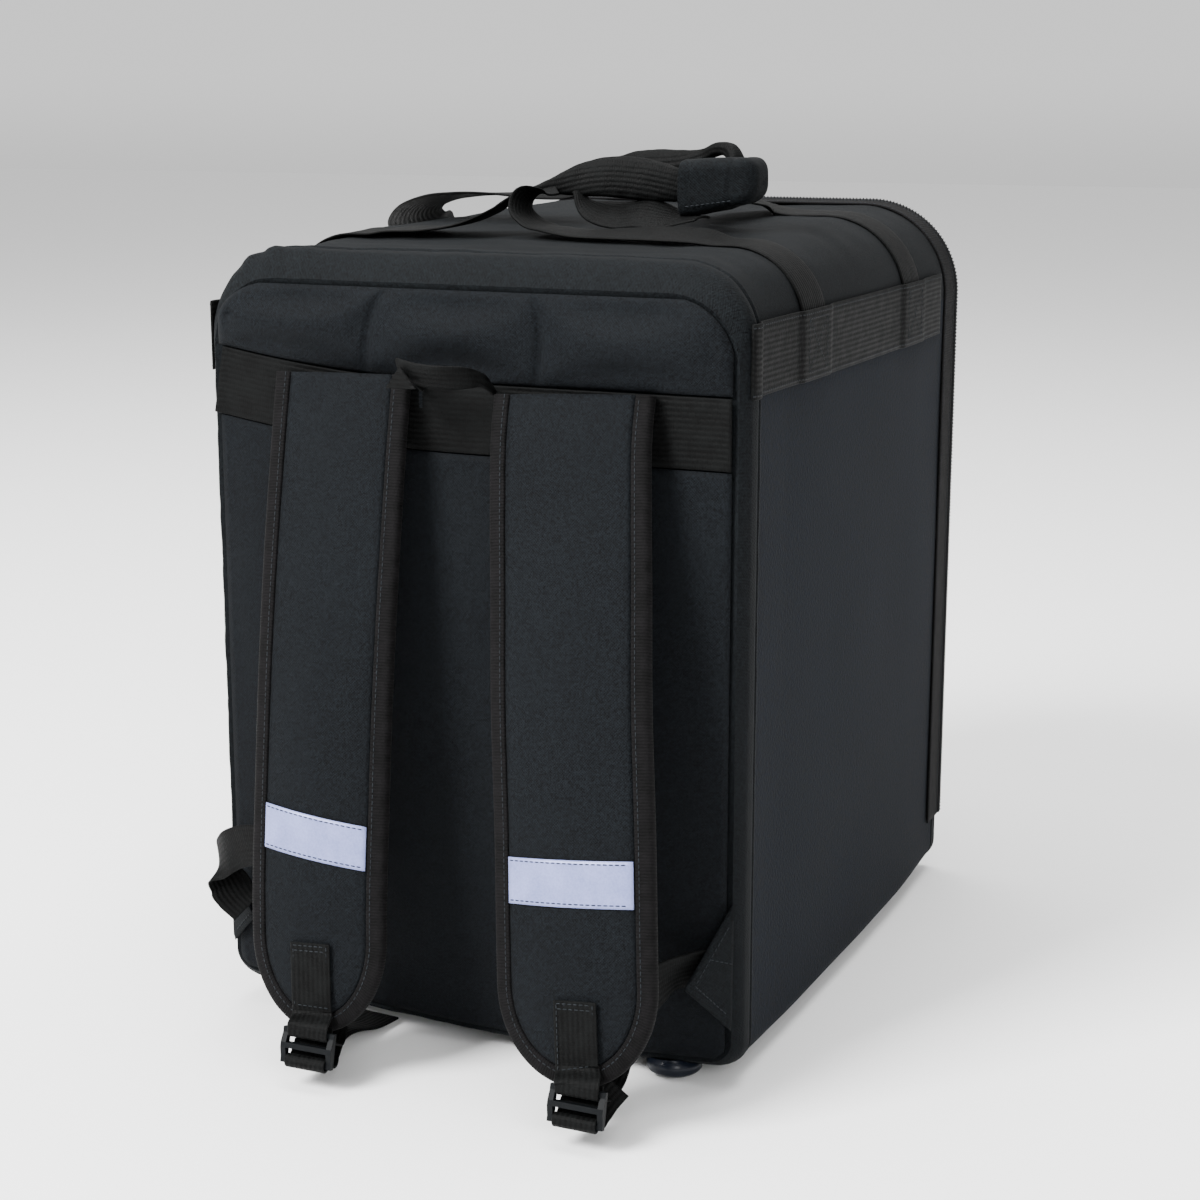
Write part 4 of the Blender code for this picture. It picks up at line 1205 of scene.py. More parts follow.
@dataclass
class BackPad:
    """One padded field of the back panel, between two edges given at each x."""

    name: str
    node: str
    low: Callable[[float], float]
    high: Callable[[float], float]
    rise: float
    columns: int
    rows: int
    seams: tuple[float, ...] = ()
    fill: float = 0.6
    slant: float = 0.0

    def build(self, finishes: Wardrobe) -> None:
        """Builds the field and puffs it up.

        Args:
            finishes: the bag's finishes.
        """
        us = np.linspace(-1, 1, self.columns)
        vs = np.linspace(-1, 1, self.rows)
        front = np.zeros((self.rows, self.columns, 3))
        for i, v in enumerate(vs):
            level = self.low(0.0) + (self.high(0.0) - self.low(0.0)) * (v + 1) / 2
            half = pad_half(level)
            for j, u in enumerate(us):
                x = u * half - self.slant * (1 - v) / 2 * (1 - u * u)
                z = self.low(x) + (self.high(x) - self.low(x)) * (v + 1) / 2
                front[i, j] = (x, -GAP - 1.0 - self.rise * self._crown(u, v) * 0.55, z)
        back = front.copy()
        back[:, :, 1] = -GAP
        piece = Piece(self.name)
        cloth = front[:, :, [0, 2]]
        n, m = self.rows, self.columns
        first = piece.grid(front, cloth)
        second = piece.grid(back, cloth)
        rim = list(range(m)) + [i * m + m - 1 for i in range(1, n)]
        rim += [(n - 1) * m + j for j in range(m - 2, -1, -1)] + [i * m for i in range(n - 2, 0, -1)]
        flat = cloth.reshape(-1, 2)
        for a, b in zip(rim, rim[1:] + rim[:1]):
            piece.face((first + a, first + b, second + b, second + a), flat[[a, b, b, a]])
        obj = piece.build([finishes.padding], "padded_mesh_cloth", [self.node])
        sewn = set(range(second, second + n * m)) | {first + k for k in rim}
        for seam in self.seams:
            column = int(round((seam + 1) / 2 * (m - 1)))
            sewn |= {first + i * m + column for i in range(n)}
        inflate(obj, sorted(sewn), self.rise * 0.62 / 1000)
        self._crease(obj, first, n, m)

    def _crown(self, u: float, v: float) -> float:
        """How high the field stands, with its sewn seams held down.

        Args:
            u: place across the field, from -1 to 1.
            v: place up the field, from -1 to 1.

        Returns:
            Share of the full rise.
        """
        edges = (-1.0, *self.seams, 1.0)
        field_number = min(sum(u > edge for edge in edges[1:-1]), len(edges) - 2)
        low, high = edges[field_number], edges[field_number + 1]
        t = abs(2 * (u - low) / (high - low) - 1)
        sides = 1 - (0.95 if self.seams else 1.0) * t ** (16 if self.seams else 8)
        return max((1 - abs(v) ** 4) * sides, 0.0)

    def _crease(self, obj: bpy.types.Object, first: int, n: int, m: int) -> None:
        """Adds soft dents and the small puckers that stitches pull.

        Args:
            obj: the padded piece.
            first: number of its front's first point.
            n: rows of points.
            m: columns of points.
        """
        mesh = obj.data
        points = np.zeros(len(mesh.vertices) * 3)
        mesh.vertices.foreach_get("co", points)
        points = points.reshape(-1, 3)
        place = points * 1000
        inner = np.zeros(len(points))
        for i in range(1, n - 1):
            for j in range(1, m - 1):
                inner[first + i * m + j] = min(i, n - 1 - i, j, m - 1 - j) / 3
        inner = np.clip(inner, 0, 1)
        dents = 0.9 * grain(place * np.array([1.0, 1.0, 0.6]), 42.0, 21.0) + 0.35 * grain(place, 14.0, 22.0)
        # The cloth is pulled into upright creases towards the side seams, most where the tabs are sewn in.
        near_seam = np.exp(-((PANEL_HALF - np.abs(place[:, 0])) / 24.0))
        near_tab = np.exp(-(((place[:, 2] - 75) / 70) ** 2))
        pull = near_seam * (0.5 + near_tab)
        dents += 1.5 * pull * grain(place * np.array([1.0, 1.0, 0.16]), 13.0, 23.0)
        points[:, 1] += inner * dents / 1000
        mesh.vertices.foreach_set("co", points.ravel())
        mesh.update()


@dataclass
class BackPanel:
    """Two padded fields with a band of wide webbing sewn between them."""

    upper_rise: float = 9.0
    lower_rise: float = 7.0

    def build(self, finishes: Wardrobe, thread: Thread) -> None:
        """Builds the fields, the band and its stitches.

        Args:
            finishes: the bag's finishes.
            thread: takes the stitches.
        """
        seam = PANEL_WIDTH / 6.0 / PANEL_HALF
        BackPad(
            "upper_back_pad", "back_pad_upper",
            low=lambda x: webbing_low(x) + WIDE_WEBBING + GAP, high=lambda x: SEAM_TOP - 3.0,
            rise=self.upper_rise, columns=169, rows=29,
            seams=(-seam - 0.012, seam - 0.018), fill=0.7, slant=6.0,
        ).build(finishes)
        BackPad(
            "lower_back_pad", "back_pad_lower",
            low=lambda x: 4.5 + SHAPE.lift(x, 0.0), high=lambda x: webbing_low(x) - GAP,
            rise=self.lower_rise, columns=81, rows=91, fill=0.5,
        ).build(finishes)
        y = -GAP - WEBBING_THICK / 2 - 0.3
        xs = np.linspace(-PANEL_HALF, PANEL_HALF, 160)
        # Both ends turn out a little over the edge roll.
        outs = 0.8 * np.exp(-(((np.abs(xs) - PANEL_HALF) / 5) ** 2))
        rows = [(x, y - out, webbing_low(x) + WIDE_WEBBING / 2, 0, 0, 1) for x, out in zip(xs, outs)]
        band = Band(np.array(rows), WIDE_WEBBING - 4 * GAP)
        band.build("back_band", finishes.webbing, "webbing", "back_webbing")
        for offset in (-17.6, 17.6):
            thread.lay(*band.line(offset, -WEBBING_THICK / 2))
        # A bar tack beside the left strap's top end.
        for z in np.arange(367.0, 381.0, 0.8):
            spot = np.array([(-27.5, y - 0.8, z), (-23.5, y - 0.8, z)])
            thread.lay(spot, np.tile([0.0, -1.0, 0.0], (2, 1)))


# Bands and handles


def soft_triangle(
    corners: Sequence[Sequence[float]], thick: float
) -> tuple[np.ndarray, np.ndarray, np.ndarray]:
    """A triangle of folded cloth with soft edges.

    Args:
        corners: an end of the sewn side, the free tip and the other end.
        thick: millimetres through the cloth.

    Returns:
        Its rings, their cloth coordinates and the way that it faces.
    """
    a, tip, b = (np.array(c) for c in corners)
    normal = unit(np.cross(tip - a, b - a))
    normal = normal if normal[1] < 0 else -normal
    n, m = 22, 18
    front = np.zeros((n, m, 3))
    for i, s in enumerate(np.linspace(0, 1, n)):
        seam = a + (b - a) * s
        for j, t in enumerate(np.linspace(0, 0.985, m)):
            front[i, j] = seam + (tip - seam) * t
    edge = np.minimum.outer(np.minimum(np.arange(n), np.arange(n)[::-1]), np.full(m, 9)) / 2.0
    far = np.minimum(np.arange(m)[::-1], 3)[None, :] / 2.0
    swell = np.clip(np.minimum(edge, far), 0.15, 1.0)[..., None]
    wave = 0.35 * grain(front, 17.0, 61.0).reshape(n, m, 1)
    top = front + normal * (thick / 2 * swell + wave * swell)
    low = front - normal * thick / 2 * swell
    rings = np.concatenate([top, low[:, ::-1]], axis=1)
    cloth = np.concatenate([rings, rings[:, :1]], axis=1)[:, :, [2, 1]]
    return rings, cloth, normal


@dataclass
class SideBand:
    """The wide band along one side, over the handle webbing, with boxed crosses."""

    side: int
    label: str
    far: float = 370.0
    box: float = 15.0
    seam: float = 17.8

    def build(self, finishes: Wardrobe, thread: Thread) -> None:
        """Builds the band and sews its edges and its two boxed crosses.

        Args:
            finishes: the bag's finishes.
            thread: takes the stitches.
        """
        z = (SIDE_BAND_LOW + SIDE_BAND_HIGH) / 2
        reach = HANDLE_WEBBING / 2
        lifted = FLAT_LIFT + STACK + WEBBING_THICK
        stations = [(y, FLAT_LIFT) for y in (5.0, 8.0, 14.0, 19.0, 24.0)]
        for centre in HANDLE_DEPTHS:
            stations += [(centre - reach - 10, FLAT_LIFT), (centre - reach - 2, lifted)]
            stations += [(centre + reach + 2, lifted), (centre + reach + 10, FLAT_LIFT)]
        table = np.array([*stations, (self.far, FLAT_LIFT)])
        rows = []
        for y in np.linspace(table[0, 0], self.far, 170):
            x = self.side * (SHAPE.rounded(y)[0] + rounded_interp(y, table)[0])
            rows.append((x, y, z, 0, 0, 1))
        band = Band(np.array(rows), WIDE_WEBBING)
        band.build("side_band_" + self.label, finishes.webbing, "webbing", "side_webbing_" + self.label)
        away = (self.side, 0, 0)
        face = WEBBING_THICK / 2 * float(np.sign(band.normal[0] @ away))
        for offset in (-self.seam, self.seam):
            thread.lay(*facing(band.line(offset, face), away))
        for centre in HANDLE_DEPTHS:
            spots = []
            for y, offset in ((-1, -1), (1, -1), (1, 1), (-1, 1)):
                along = float(np.interp(centre + y * self.box, band.centres[:, 1], band.along))
                spots.append(facing(band.spot(along, offset * self.box, face), away))
            thread.across([*spots, spots[0], spots[2]])
            thread.across([spots[1], spots[3]])


# x, y and z of the webbing's middle, then the direction across it
HANDLE_NEAR_LEFT = (
    (-100.0, 108.0, 456.5, 0, 1, 0.03),
    (-76.0, 109.0, 457.5, 0, 1, 0.02),
    (-55.0, 113.0, 461.5, 0, 1, 0.05),
    (-40.0, 120.0, 468.5, 0, 1, 0.10),
    (-29.0, 128.0, 477.0, 0, 1, 0.15),
    (-25.4, 134.5, 479.4, 0, 1, 0.18),
)
HANDLE_NEAR_RIGHT = (
    (98.0, 108.0, 457.5, 0, 1, 0.12),
    (72.0, 109.0, 458.5, 0, 1, 0.14),
    (45.0, 110.0, 458.0, 0, 1, 0.10),
    (19.0, 113.0, 457.5, 0, 1, 0.04),
    (2.0, 116.0, 459.0, 0, 1, 0.0),
    (-10.0, 119.0, 461.0, 0, 1, 0.0),
    (-18.5, 123.0, 466.5, 0, 1, 0.05),
    (-21.5, 128.0, 473.0, 0, 1, 0.1),
    (-18.0, 134.0, 478.5, 0, 1, 0.2),
    (-9.0, 140.0, 480.5, 0, 1, 0.3),
)
HANDLE_FAR_LEFT = (
    (-165.1, 300.0, 417.0, 0.0, 1, 0.0),
    (-165.2, 299.5, 425.0, 0.0, 1, 0.0),
    (-166.0, 294.0, 435.0, 0.1, 1, 0.1),
    (-166.5, 277.0, 444.0, 0.4, 1, 0.25),
    (-163.5, 252.0, 451.0, 0.6, 1, 0.2),
    (-156.0, 233.0, 458.5, 0.4, 1, 0.0),
    (-144.0, 222.0, 465.5, 0.2, 1, -0.08),
    (-128.0, 217.0, 470.5, 0.05, 1, -0.1),
    (-108.0, 214.5, 473.0, 0.0, 1, -0.08),
    (-86.0, 212.0, 474.0, 0.0, 1, -0.05),
    (-58.0, 207.0, 475.5, 0.1, 1, 0.1),
    (-28.0, 200.0, 480.5, 0.2, 1, 0.5),
    (-8.0, 197.0, 486.0, 0.1, 1, 0.9),
    (4.3, 196.0, 490.5, 0.0, 1, 1.0),
)
HANDLE_FAR_RIGHT = (
    (69.0, 297.0, 465.0, -0.1, 1, 0.0),
    (63.0, 290.0, 468.0, -0.25, 1, 0.0),
    (57.0, 278.0, 470.5, -0.4, 1, 0.0),
    (53.0, 262.0, 472.5, -0.5, 1, 0.03),
    (51.0, 242.0, 473.5, -0.8, 1, 0.0),
    (54.0, 224.0, 472.6, -1.0, -0.4, 0.0),
    (61.0, 210.5, 471.6, -0.8, -0.75, 0.0),
)
HANDLE_FOLD = (
    (80.0, 152.0, 465.8, 0, 1, 0.0),
    (67.0, 151.0, 465.0, 0, 1, 0.15),
    (55.0, 150.0, 466.5, 0, 1, 0.45),
    (42.0, 149.0, 468.5, 0.1, 1, 0.62),
    (29.0, 149.0, 467.0, 0.0, 1, 0.55),
    (17.0, 149.0, 468.5, -0.1, 1, 0.45),
    (6.0, 150.0, 473.5, -0.2, 1, 0.35),
    (1.0, 152.0, 479.0, -0.2, 1, 0.3),
)

# x, y, z, height, thickness, lean
GRIP_NEAR = (
    (-24.0, 138.5, 480.6, 3.0, 5.0, 0.30),
    (-13.0, 147.5, 482.5, 11.0, 6.5, 0.30),
    (0.0, 154.0, 485.5, 20.0, 8.0, 0.28),
    (18.0, 158.0, 487.5, 25.0, 9.5, 0.25),
    (36.0, 161.0, 486.5, 26.0, 10.0, 0.20),
    (54.0, 163.0, 484.0, 22.0, 10.0, 0.10),
    (64.0, 164.0, 482.3, 18.0, 9.0, 0.05),
    (76.0, 164.5, 482.6, 25.5, 10.0, 0.0),
    (90.0, 164.5, 484.0, 25.9, 10.0, 0.0),
    (105.0, 164.5, 485.5, 25.9, 10.0, 0.0),
)
GRIP_FAR = (
    (5.0, 196.0, 492.0, 12.0, 7.0, 0.30),
    (20.0, 196.0, 494.0, 17.0, 9.0, 0.30),
    (38.0, 196.0, 494.5, 18.0, 10.0, 0.28),
    (53.0, 196.0, 496.5, 14.0, 9.0, 0.25),
    (65.0, 195.0, 500.5, 8.0, 7.0, 0.2),
    (74.0, 192.0, 504.0, 8.0, 8.0, 0.15),
    (83.0, 189.0, 503.0, 9.0, 9.0, 0.1),
    (88.5, 186.0, 495.0, 9.0, 10.0, 0.0),
    (89.0, 186.3, 484.0, 9.0, 10.0, 0.0),
    (82.0, 193.0, 473.5, 9.0, 9.0, 0.0),
    (71.0, 201.0, 471.0, 7.0, 14.0, 0.0),
    (63.6, 208.4, 471.6, 3.0, 18.0, 0.0),
)
GRAB_LOOP = (
    (-24.0, -3.8, 377.5, 4.0, 2.2, 0.0),
    (-25.5, -10.0, 382.5, 5.0, 2.4, -0.1),
    (-29.5, -17.5, 388.5, 8.0, 2.6, -0.3),
    (-26.0, -25.0, 390.5, 13.0, 2.8, -0.5),
    (-12.0, -30.0, 388.5, 16.0, 3.0, -0.6),
    (3.0, -29.0, 387.5, 16.0, 3.0, -0.6),
    (12.5, -23.0, 387.0, 13.0, 2.8, -0.4),
    (18.0, -15.0, 385.5, 8.0, 2.6, -0.3),
    (20.0, -9.0, 381.5, 5.0, 2.4, -0.1),
    (20.3, -3.8, 377.5, 4.0, 2.2, 0.0),
)
# Corners of the cloth folded over the loop's left end: x, y, z
GRAB_LOOP_FOLD = ((-33.0, -29.5, 380.5), (-21.5, -33.6, 393.5), (-11.5, -34.0, 381.5))


@dataclass
class Handles:
    """Two carrying handles, gathered in one cloth wrap as they lie in the photo."""

    wrap_left: float = 66.0
    wrap_right: float = 113.0
    wrap_y: float = 164.5
    wrap_half_y: float = 15.5
    wrap_half_z: float = 17.1
    wrap_wall: float = 3.0
    wrap_low: float = 481.6
    wrap_climb: float = 6.6
    wrap_taper: float = 4.2

    def build(self, finishes: Wardrobe, thread: Thread) -> None:
        """Builds the four bands, the fold, both grips, the wrap and the grab loop.

        Args:
            finishes: the bag's finishes.
            thread: takes the stitches.
        """
        near, far = HANDLE_DEPTHS
        # Name, rows, and the share of its width that each band keeps where it is gathered.
        runs = (
            ("near_left", self._side_run(near, -1, 112.0) + list(HANDLE_NEAR_LEFT), 0.45),
            ("near_right", self._side_run(near, 1, 112.0) + list(HANDLE_NEAR_RIGHT), 0.5),
            ("far_left", self._side_run(far, -1, 112.0)[:3] + list(HANDLE_FAR_LEFT), 0.3),
            ("far_right", self._side_run(far, 1, 76.0)[:-1] + list(HANDLE_FAR_RIGHT), 0.75),
        )
        for label, table, share in runs:
            band = Band(smooth_rows(table, 180), HANDLE_WEBBING, curl=0.3, end_share=share)
            band.build("handle_band_" + label, finishes.webbing, "webbing", "handle_" + label)
        fold = Band(smooth_rows(HANDLE_FOLD, 90), HANDLE_WEBBING - 8, curl=1.2, end_share=0.45, taper=18.0)
        fold.build("handle_folded_end", finishes.webbing, "webbing", "handle_fold")
        self._grip("near_grip", GRIP_NEAR, "handle_grip_near", finishes)
        self._grip("far_grip", GRIP_FAR, "handle_grip_far", finishes)
        self._grip("grab_loop_band", GRAB_LOOP, "grab_loop", finishes, 90)
        rings, cloth, _ = soft_triangle(GRAB_LOOP_FOLD, 1.6)
        corner = Piece("grab_loop_folded_corner")
        corner.tube(rings, cloth)
        corner.build([finishes.webbing], "webbing")
        self._wrap(finishes, thread)

    def _side_run(self, y: float, side: int, from_x: float) -> list[tuple[float, ...]]:
        """Rows of a handle band from under the side band up and over the top edge.

        Args:
            y: depth of the band's middle.
            side: 1 for the right side, -1 for the left.
            from_x: how far from the bag's middle the rows end on top.

        Returns:
            The rows, each a place and the direction across.
        """
        near, far = (
            SHAPE.edge_path(y + part * HANDLE_WEBBING / 2, side, from_x, SIDE_BAND_LOW + 2, FLAT_LIFT)
            for part in (-1, 1)
        )
        return [(*((a + b) / 2), *unit(b - a)) for a, b in zip(near, far)][::-1]

    def _grip(
        self, name: str, table: Sequence[Sequence[float]], node: str, finishes: Wardrobe, count: int = 110
    ) -> None:
        """A folded, flattened run of webbing.

        Args:
            name: the piece's name.
            table: place, height, thickness and lean along it.
            node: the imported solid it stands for.
            finishes: the bag's finishes.
            count: rings along it.
        """
        rows = smooth_rows(table, count)
        run = tangents(rows[:, :3])
        along = lengths_along(rows[:, :3])
        around, squareness = 36, 2.6
        rings = np.zeros((count, around, 3))
        cloth = np.zeros((count, around + 1, 2))
        for i, ((x, y, z, height, thick, lean), t) in enumerate(zip(rows, run)):
            up = np.array([0.0, lean, 1.0])
            up = unit(up - np.dot(up, t) * t)
            side = np.cross(t, up)
            for k in range(around + 1):
                angle = 2 * math.pi * k / around
                c, s = math.cos(angle), math.sin(angle)
                flat = 1 / (abs(c) ** squareness + abs(s) ** squareness) ** (1 / squareness)
                # The two folded edges meet in a crease along the lower side.
                pinch = 1 - 0.16 * math.exp(-(((angle - 1.5 * math.pi) / 0.35) ** 2))
                wide, high = flat * c * pinch * thick / 2, flat * s * pinch * height / 2
                cloth[i, k] = (s * flat * height / 2, along[i])
                if k < around:
                    rings[i, k] = np.array([x, y, z]) + side * wide + up * high
        wrinkle = 0.35 * grain(rings, 9.0, 31.0) + 0.25 * grain(rings, 4.0, 32.0)
        centre = rows[:, None, :3]
        rings += unit(rings - centre) * wrinkle.reshape(count, around, 1) * 0.8
        piece = Piece(name)
        piece.tube(rings, cloth)
        piece.build([finishes.webbing], "webbing", [node])

    def _middle(self, share: float) -> float:
        """Height of the wrap's middle at a share of its length, which climbs to the right."""
        return self.wrap_low + self.wrap_climb * share

    def _wrap(self, finishes: Wardrobe, thread: Thread) -> None:
        """The cloth flap folded round the grips, open to the left.

        Args:
            finishes: the bag's finishes.
            thread: takes the stitches.
        """
        around, soft, squareness = 80, 9.0, 5
        left, right, wall = self.wrap_left, self.wrap_right, self.wrap_wall
        # Where each ring stands and how far it grows: the lining, the hem, the outside, the closed end.
        plan = [(right - wall - soft, -wall), (left + 1.5, -wall)]
        plan += [(left + 0.3, -wall + 0.7), (left, -1.3), (left + 0.5, -0.3)]
        inside = len(plan)
        plan += [(x, 0.0) for x in np.linspace(left + 2, right - soft, 30)]
        turn = np.linspace(0, 1, 12)[1:] * math.pi / 2
        plan += [(right - soft + soft * math.sin(t), -soft * (1 - math.cos(t))) for t in turn]
        rings = np.zeros((len(plan), around, 3))
        for i, (x, grow) in enumerate(plan):
            share = float(np.clip((x - left) / (right - left), 0, 1))
            half_z = self.wrap_half_z - self.wrap_taper * share
            middle = self._middle(share)
            for k in range(around):
                angle = 2 * math.pi * (k + 0.5) / around
                c, s = math.cos(angle), math.sin(angle)
                flat = 1 / (abs(c) ** squareness + abs(s) ** squareness) ** (1 / squareness)
                rings[i, k] = (
                    x + 1.6 * c * (1 - share),
                    self.wrap_y + flat * c * (self.wrap_half_y + grow),
                    middle + flat * s * (half_z + grow),
                )
        outer = rings[inside:]
        dents = 0.75 * grain(outer, 17.0, 41.0) + 0.25 * grain(outer, 6.0, 42.0)
        # The flap's own edge: a shallow step where it was folded over, and one soft crease.
        x, _, z = outer.reshape(-1, 3).T
        dents -= 0.9 * np.exp(-(((x - 97.0 - 0.1 * (z - 480)) / 1.3) ** 2))
        dents -= 0.6 * np.exp(-((x - 71.5) ** 2))
        middles = outer.mean(axis=1, keepdims=True)
        outer += unit(outer - middles) * dents.reshape(outer.shape[0], around, 1)
        cloth = np.zeros((len(plan), around + 1, 2))
        cloth[:, :, 0] = lengths_along(np.vstack([rings[10], rings[10][:1]]))[None, :]
        cloth[:, :, 1] = np.array([row[0] for row in plan])[:, None]
        piece = Piece("handle_wrap_flap")
        piece.tube(rings, cloth)
        obj = piece.build([finishes.polyester], "flap_cloth", ["handle_wrap"])
        face = self.wrap_y - self.wrap_half_y * 0.98 - 0.7
        seam = [
            (x, face, self._middle((x - left) / (right - left)) - 10.5)
            for x in np.linspace(left + 4, right - 12, 20)
        ]
        thread.lay(np.array(seam), np.tile([0.0, -1.0, 0.0], (len(seam), 1)))


# Buckles


@dataclass
class Lock:
    """A ladder lock hanging under a strap, with the webbing that it holds."""

    label: str
    centre: tuple[float, float, float]
    dip: float
    start: Sequence[Sequence[float]]
    tail: Sequence[Sequence[float]]
    height: float = 20.0
    bar: float = 3.0

    def __post_init__(self) -> None:
        """Works out the lock's own axes."""
        down = unit(np.array([0.0, -0.25, -0.97]))
        width = np.array([1.0, 0.0, -self.dip])
        self.width_dir = unit(width - np.dot(width, down) * down)
        self.down_dir = down
        out = np.cross(self.width_dir, down)
        self.out_dir = out if out[1] < 0 else -out
        self.turn = math.hypot(self.bar / 2, self.bar / 2) + GAP + WEBBING_THICK / 2 + 0.1

    def at(self, u: float, v: float, n: float) -> np.ndarray:
        """Point of the lock from its width, down and out distances."""
        return np.array(self.centre) + self.width_dir * u + self.down_dir * v + self.out_dir * n

    def build(self, frame: dict, finishes: Wardrobe) -> None:
        """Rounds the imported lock's edges and threads its webbing.

        Args:
            frame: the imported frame.
            finishes: the bag's finishes.
        """
        node = frame["nodes"]["ladder_lock_" + self.label]
        dress_node(node, finishes.acetal, 0.7)
        bar = self.height / 2 - self.bar / 2
        around = [self.at(0, -2.0, -self.turn - 3.5)]
        for degrees in range(210, -91, -30):
            a = math.radians(degrees)
            around.append(self.at(0, bar + self.turn * math.cos(a), self.turn * math.sin(a)))
        around.append(self.at(0, bar + 0.8, -self.turn - 3.0))
        around.append(self.at(0, bar + 2.0, -self.turn - 7.5))
        table = list(self.start) + [(*p, *self.width_dir) for p in around] + list(self.tail)
        band = Band(smooth_rows(table, 260), NARROW_WEBBING)
        name = "adjuster_band_" + self.label
        band.build(name, finishes.webbing, "webbing", "adjuster_webbing_" + self.label)


def dress_node(node: bpy.types.Object, finish: bpy.types.Material, bevel: float = 0.0) -> None:
    """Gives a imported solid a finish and, where asked, rounded edges.

    Args:
        node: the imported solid, which stays where it is.
        finish: its material.
        bevel: width of the rounded edges in millimetres.
    """
    if node.material_slots:
        for place in node.material_slots:
            place.link = "OBJECT"
            place.material = finish
    else:
        node.data.materials.append(finish)
    if bevel:
        round_off = node.modifiers.new("rounded", "BEVEL")
        round_off.width = bevel / 1000
        round_off.segments = 3
        round_off.limit_method = "ANGLE"
        round_off.angle_limit = math.radians(40)
        round_off.harden_normals = False
    LOG.info("%s dressed", node.name)


# Shoulder straps


class StrapSurface:
    """Place of any point of a strap, from its distance down and across it."""

    def __init__(self, table: Sequence[Sequence[float]], half: float) -> None:
        """Reads the strap's table.

        Args:
            table: rows of x, y, z, tilt and curl.
            half: half the strap's width.
        """
        self.half = half
        self.rows = smooth_rows(table, 60)
        self.run = tangents(self.rows[:, :3])
        self.along = lengths_along(self.rows[:, :3])
        self.length = float(self.along[-1])

    def half_at(self, down: float, inset: float = 0.0) -> float:
        """Half width at a distance down the strap.

        Args:
            down: the distance.
            inset: how far inside the strap's edge.

        Returns:
            The half width, which runs out round the strap's end.
        """
        end, curve, half = self.length - inset, STRAP_END_CURVE - inset, self.half - inset
        left = max(end - down, 0.0)
        if left >= curve:
            return half
        return half * math.sqrt(max(1 - (1 - left / curve) ** 2, 0.0))

    def stations(self, inset: float, straight: int, bend: int, short: float) -> list[float]:
        """Distances down the strap, closer together round its end.

        Args:
            inset: how far inside the strap's edge they run.
            straight: how many on the straight run.
            bend: how many round the end, with those at its two ends.
            short: how far before the end the last one lies.

        Returns:
            The distances.
        """
        end, curve = self.length - inset, STRAP_END_CURVE - inset
        downs = list(np.linspace(0.0, end - curve, straight))
        downs += [end - curve * (1 - math.sin(a)) for a in np.linspace(0, math.pi / 2, bend)[1:-1]]
        return [*downs, end - short]

    def frame(self, down: float) -> tuple[np.ndarray, np.ndarray, np.ndarray, float]:
        """The strap's own axes at one place.

        Args:
            down: distance down the strap.

        Returns:
            Place, direction across, direction out and curl.
        """
        row = read_at(down, self.along, self.rows)
        t = unit(read_at(down, self.along, self.run))
        place = row[:3] + t * max(down - self.length, 0.0)
        side = np.array([1.0, 0.0, row[3]])
        side = unit(side - np.dot(side, t) * t)
        out = np.cross(side, t)
        return place, side, out if out[1] < 0 else -out, float(row[4])

    def at(self, down: float, across: float, lift: float) -> np.ndarray:
        """Point `down` along, `across` to the right and `lift` out of the strap."""
        place, side, out, curl = self.frame(down)
        return place + side * across + out * (lift + curl * (1 - (across / self.half) ** 2))


# x, y, z, tilt, curl
STRAP_RIGHT = (
    (69.5, -6.6, 379.0, 0.00, 0.0),
    (70.5, -13.0, 361.0, 0.02, 1.0),
    (74.5, -23.5, 322.0, 0.03, 2.0),
    (80.0, -35.0, 279.0, 0.05, 3.0),
    (86.0, -48.0, 222.0, 0.06, 4.0),
    (94.0, -61.0, 150.0, 0.05, 5.0),
    (100.0, -72.0, 89.0, 0.05, 5.0),
    (104.0, -79.0, 48.0, 0.05, 4.0),
    (106.5, -83.0, 20.0, 0.04, 3.0),
)
STRAP_LEFT = (
    (-71.5, -8.5, 384.0, -0.05, 0.0),
    (-71.0, -13.0, 366.0, -0.05, 1.0),
    (-69.5, -23.0, 327.0, -0.06, 2.0),
    (-67.5, -34.0, 283.0, -0.10, 3.0),
    (-66.0, -45.0, 225.0, -0.14, 4.5),
    (-64.5, -56.0, 150.0, -0.18, 5.5),
    (-62.0, -66.0, 89.0, -0.15, 5.0),
    (-59.0, -72.0, 48.0, -0.08, 4.0),
    (-57.5, -75.0, 20.0, 0.0, 3.0),
)


